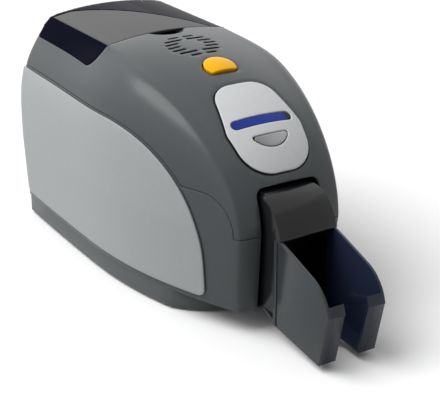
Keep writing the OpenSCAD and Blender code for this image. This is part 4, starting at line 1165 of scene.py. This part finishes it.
def makeRelease():
    top = spinePatch("releaseTop", toFlat(releaseLoop(0), sRelease), [], releaseTop, releaseMake, "keyYellow")
    down = -form["wall"] - releaseFlange["down"]
    flange = spinePatch("releaseFlange", toFlat(releaseLoop(releaseFlange["wider"]), sRelease), [],
                        lambda f: onSpine(f, down), releaseFlange, "keyYellow")
    piece = joinPieces("releaseKey", [top, flange, makeStem()])
    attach(piece, "release")
    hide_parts("release_button")


makeBezel()
makeWindow()
makeMoonKey()
makeRelease()
print("display panel and keys made")


softEdge = {"hopper": 0.5, "hood": 0.5, "pan": 0.6, "segments": 2, "sharp": 35, "flat": 0.6}


def softCopy(node, name, finishName, body, radius):
    # a solid's own form with its edges rounded, after triangles that lie in one flat are joined
    bm = bmesh.new()
    bm.from_mesh(nodes[node].data)
    bmesh.ops.remove_doubles(bm, verts=bm.verts, dist=0.01 * mm)
    bmesh.ops.dissolve_limit(bm, angle_limit=math.radians(softEdge["flat"]), verts=bm.verts, edges=bm.edges,
                             use_dissolve_boundaries=False)
    bmesh.ops.recalc_face_normals(bm, faces=bm.faces)
    piece = finish(bm, name)
    addBevel(piece, radius, softEdge["segments"], softEdge["sharp"])
    applyAll(piece)
    shade(piece.data, 30)
    dress(piece, finishName)
    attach(piece, body)
    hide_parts(node)


softCopy("output_bin", "outputHopper", "hopper", "base", softEdge["hopper"])
softCopy("exit_hood", "exitHood", "hood", "base", softEdge["hood"])
softCopy("base_pan", "basePan", "panGrey", "base", softEdge["pan"])
print("hopper, hood and base pan made")


# rear grille slats, feet and screws are set out by Geometry Nodes

def newTree(name, inputs):
    tree = bpy.data.node_groups.new(name, "GeometryNodeTree")
    tree.interface.new_socket("Geometry", in_out="OUTPUT", socket_type="NodeSocketGeometry")
    ids = {}
    for label, kind in inputs:
        socket = tree.interface.new_socket(label, in_out="INPUT", socket_type="NodeSocket" + kind)
        ids[label] = socket.identifier
    return tree, ids


def wire(tree, *links):
    for source, output, target, entry in links:
        tree.links.new(source.outputs[output], target.inputs[entry])


def endTree(tree, source, put):
    # every tree ends in real geometry with its finish
    real, paint, out = (tree.nodes.new(kind) for kind in (
        "GeometryNodeRealizeInstances", "GeometryNodeSetMaterial", "NodeGroupOutput"))
    wire(tree, (put, "Instances", real, "Geometry"), (real, "Geometry", paint, "Geometry"),
         (source, "Finish", paint, "Material"), (paint, "Geometry", out, "Geometry"))


def bake(name, tree, ids, values, points=()):
    mesh = bpy.data.meshes.new(name)
    mesh.from_pydata(list(points), [], [])
    piece = bpy.data.objects.new(name, mesh)
    bpy.context.scene.collection.objects.link(piece)
    mod = piece.modifiers.new("repeat", "NODES")
    mod.node_group = tree
    for label, value in values.items():
        mod[ids[label]] = value
    applyAll(piece)
    return piece


slats = {
    "count": 7, "pitch": 9.0, "firstZ": 64.5, "wide": 66.0, "deep": 7.0, "thick": 1.2, "tilt": 38.0, "inset": 5.2,
}


def makeSlats():
    tree, ids = newTree("slatRow", [
        ("Count", "Int"), ("Pitch", "Float"), ("Wide", "Float"), ("Deep", "Float"), ("Thick", "Float"),
        ("Tilt", "Float"), ("Start", "Vector"), ("Finish", "Material")])
    source, line, size, cube, step, turn, put = (tree.nodes.new(kind) for kind in (
        "NodeGroupInput", "GeometryNodeMeshLine", "ShaderNodeCombineXYZ", "GeometryNodeMeshCube",
        "ShaderNodeCombineXYZ", "ShaderNodeCombineXYZ", "GeometryNodeInstanceOnPoints"))
    wire(tree, (source, "Count", line, "Count"), (source, "Start", line, "Start Location"),
         (source, "Pitch", step, "Z"), (step, "Vector", line, "Offset"),
         (source, "Wide", size, "X"), (source, "Deep", size, "Y"), (source, "Thick", size, "Z"),
         (size, "Vector", cube, "Size"), (source, "Tilt", turn, "X"),
         (line, "Mesh", put, "Points"), (cube, "Mesh", put, "Instance"), (turn, "Vector", put, "Rotation"))
    endTree(tree, source, put)
    middleZ = slats["firstZ"] + slats["pitch"] * (slats["count"] - 1) / 2
    start = (0, (float(rearFace(middleZ)) - slats["inset"]) * mm, slats["firstZ"] * mm)
    piece = bake("rearSlats", tree, ids, {
        "Count": slats["count"], "Pitch": slats["pitch"] * mm, "Wide": slats["wide"] * mm,
        "Deep": slats["deep"] * mm, "Thick": slats["thick"] * mm, "Tilt": math.radians(slats["tilt"]),
        "Start": start, "Finish": finishes["innerDark"]})
    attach(piece, "base")


def pointTree():
    tree, ids = newTree("formOnPoints", [
        ("Points", "Geometry"), ("Source", "Object"), ("Size", "Float"), ("Finish", "Material")])
    source, info, put = (tree.nodes.new(kind) for kind in (
        "NodeGroupInput", "GeometryNodeObjectInfo", "GeometryNodeInstanceOnPoints"))
    wire(tree, (source, "Source", info, "Object"), (source, "Points", put, "Points"),
         (info, "Geometry", put, "Instance"), (source, "Size", put, "Scale"))
    endTree(tree, source, put)
    return tree, ids


def lathe(name, profile, sides):
    # a turned form from a profile of radius and height
    bm = bmesh.new()
    rings = []
    for r, z in profile:
        if r < 1e-6:
            rings.append([bm.verts.new((0, 0, z * mm))])
        else:
            turns = [2 * math.pi * i / sides for i in range(sides)]
            rings.append([bm.verts.new((r * mm * math.cos(a), r * mm * math.sin(a), z * mm)) for a in turns])
    for a, b in zip(rings[:-1], rings[1:]):
        for i in range(sides):
            j = (i + 1) % sides
            corners = list(dict.fromkeys([a[i % len(a)], a[j % len(a)], b[j % len(b)], b[i % len(b)]]))
            if len(corners) > 2:
                bm.faces.new(corners)
    bmesh.ops.recalc_face_normals(bm, faces=bm.faces)
    return finish(bm, name, sharp=30)


def setOut(name, shape):
    # a turned form at four places, two on each side
    tree, ids = pointTree()
    source = lathe(name + "Form", shape["profile"], shape["sides"])
    rows = (shape["frontY"], shape["backY"])
    places = [(sign * shape["x"] * mm, y * mm, 0) for sign in (-1, 1) for y in rows]
    finishOf = finishes[shape["finish"]]
    piece = bake(name, tree, ids, {"Source": source, "Size": 1.0, "Finish": finishOf}, places)
    bpy.data.objects.remove(source)
    shade(piece.data, 30)
    return piece


# profiles in radius and height: the foot has a ringed tread, the screw a recess in its head
foot = {
    "x": 68, "frontY": -22, "backY": 210, "sides": 48, "finish": "rubber",
    "profile": [(0, 0.5), (5.4, 0.5), (5.9, 0), (7.2, 0), (7.9, 0.35), (8.7, 1.5), (9, 1.9), (9, 4), (0, 4)],
}
screw = {
    "x": 81, "frontY": 28, "backY": 178, "sides": 24, "finish": "chrome",
    "profile": [(0, 4.2), (1.1, 4.2), (1.35, 3.1), (2.6, 3.0), (3.0, 3.4), (3.0, 5), (1.5, 5), (1.5, 27.2),
                (0.6, 28), (0, 28)],
}


def makeFeet():
    piece = setOut("rubberFeet", foot)
    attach(piece, "base")
    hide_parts("rubber_feet")


def makeScrews():
    piece = setOut("baseScrews", screw)
    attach(piece, "base")
    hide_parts("base_screws")


makeSlats()
makeFeet()
makeScrews()
print("slats, feet and screws made")

# the floor's half size is in metres; the tones are what floor and sky throw back as light
stageMake = {"floor": 6.0, "floorTone": 0.4, "skyTone": 0.18, "rough": 0.9, "sheen": 0.1}
suns = {
    "softSun": {"toward": (-0.10, 0.45, 0.89), "power": 1.0, "angle": 120},
    "keySun": {"toward": (-0.48, 0.28, 0.80), "power": 2.1, "angle": 46},
    "sideSun": {"toward": (-0.92, 0.10, 0.30), "power": 0.85, "angle": 80},
}


def seenTone(tree, tone):
    # white for the rays that show the backdrop: camera, glossy and transmission; the grey tone for all others
    path = tree.nodes.new("ShaderNodeLightPath")
    seen = path.outputs["Is Camera Ray"]
    for kind in ("Is Glossy Ray", "Is Transmission Ray"):
        most = tree.nodes.new("ShaderNodeMath")
        most.operation = "MAXIMUM"
        tree.links.new(seen, most.inputs[0])
        tree.links.new(path.outputs[kind], most.inputs[1])
        seen = most.outputs[0]
    mix = tree.nodes.new("ShaderNodeMix")
    mix.data_type = "RGBA"
    mix.inputs[6].default_value = (tone, tone, tone, 1)
    mix.inputs[7].default_value = (1, 1, 1, 1)
    tree.links.new(seen, mix.inputs[0])
    return mix.outputs[2]


def makeStage():
    bm = bmesh.new()
    h = stageMake["floor"]
    bm.faces.new([bm.verts.new(p) for p in ((-h, -h, 0), (h, -h, 0), (h, h, 0), (-h, h, 0))])
    floor = finish(bm, "floor")
    mat = bpy.data.materials.new("paleFloor")
    mat.use_nodes = True
    shader = mat.node_tree.nodes["Principled BSDF"]
    shader.inputs["Roughness"].default_value = stageMake["rough"]
    shader.inputs["Specular IOR Level"].default_value = stageMake["sheen"]
    mat.node_tree.links.new(seenTone(mat.node_tree, stageMake["floorTone"]), shader.inputs["Base Color"])
    floor.data.materials.append(mat)
    world = bpy.data.worlds.new("world")
    bpy.context.scene.world = world
    world.use_nodes = True
    back = world.node_tree.nodes["Background"]
    back.inputs["Strength"].default_value = 1.0
    world.node_tree.links.new(seenTone(world.node_tree, stageMake["skyTone"]), back.inputs["Color"])
    bpy.context.scene.view_settings.view_transform = "Standard"


def makeSun(name, sun):
    data = bpy.data.lights.new(name, "SUN")
    data.energy = sun["power"]
    data.angle = math.radians(sun["angle"])
    lamp = bpy.data.objects.new(name, data)
    bpy.context.scene.collection.objects.link(lamp)
    lamp.rotation_euler = (-Vector(sun["toward"])).to_track_quat("-Z", "Y").to_euler()


makeStage()
for name, sun in suns.items():
    makeSun(name, sun)
print("stage made")
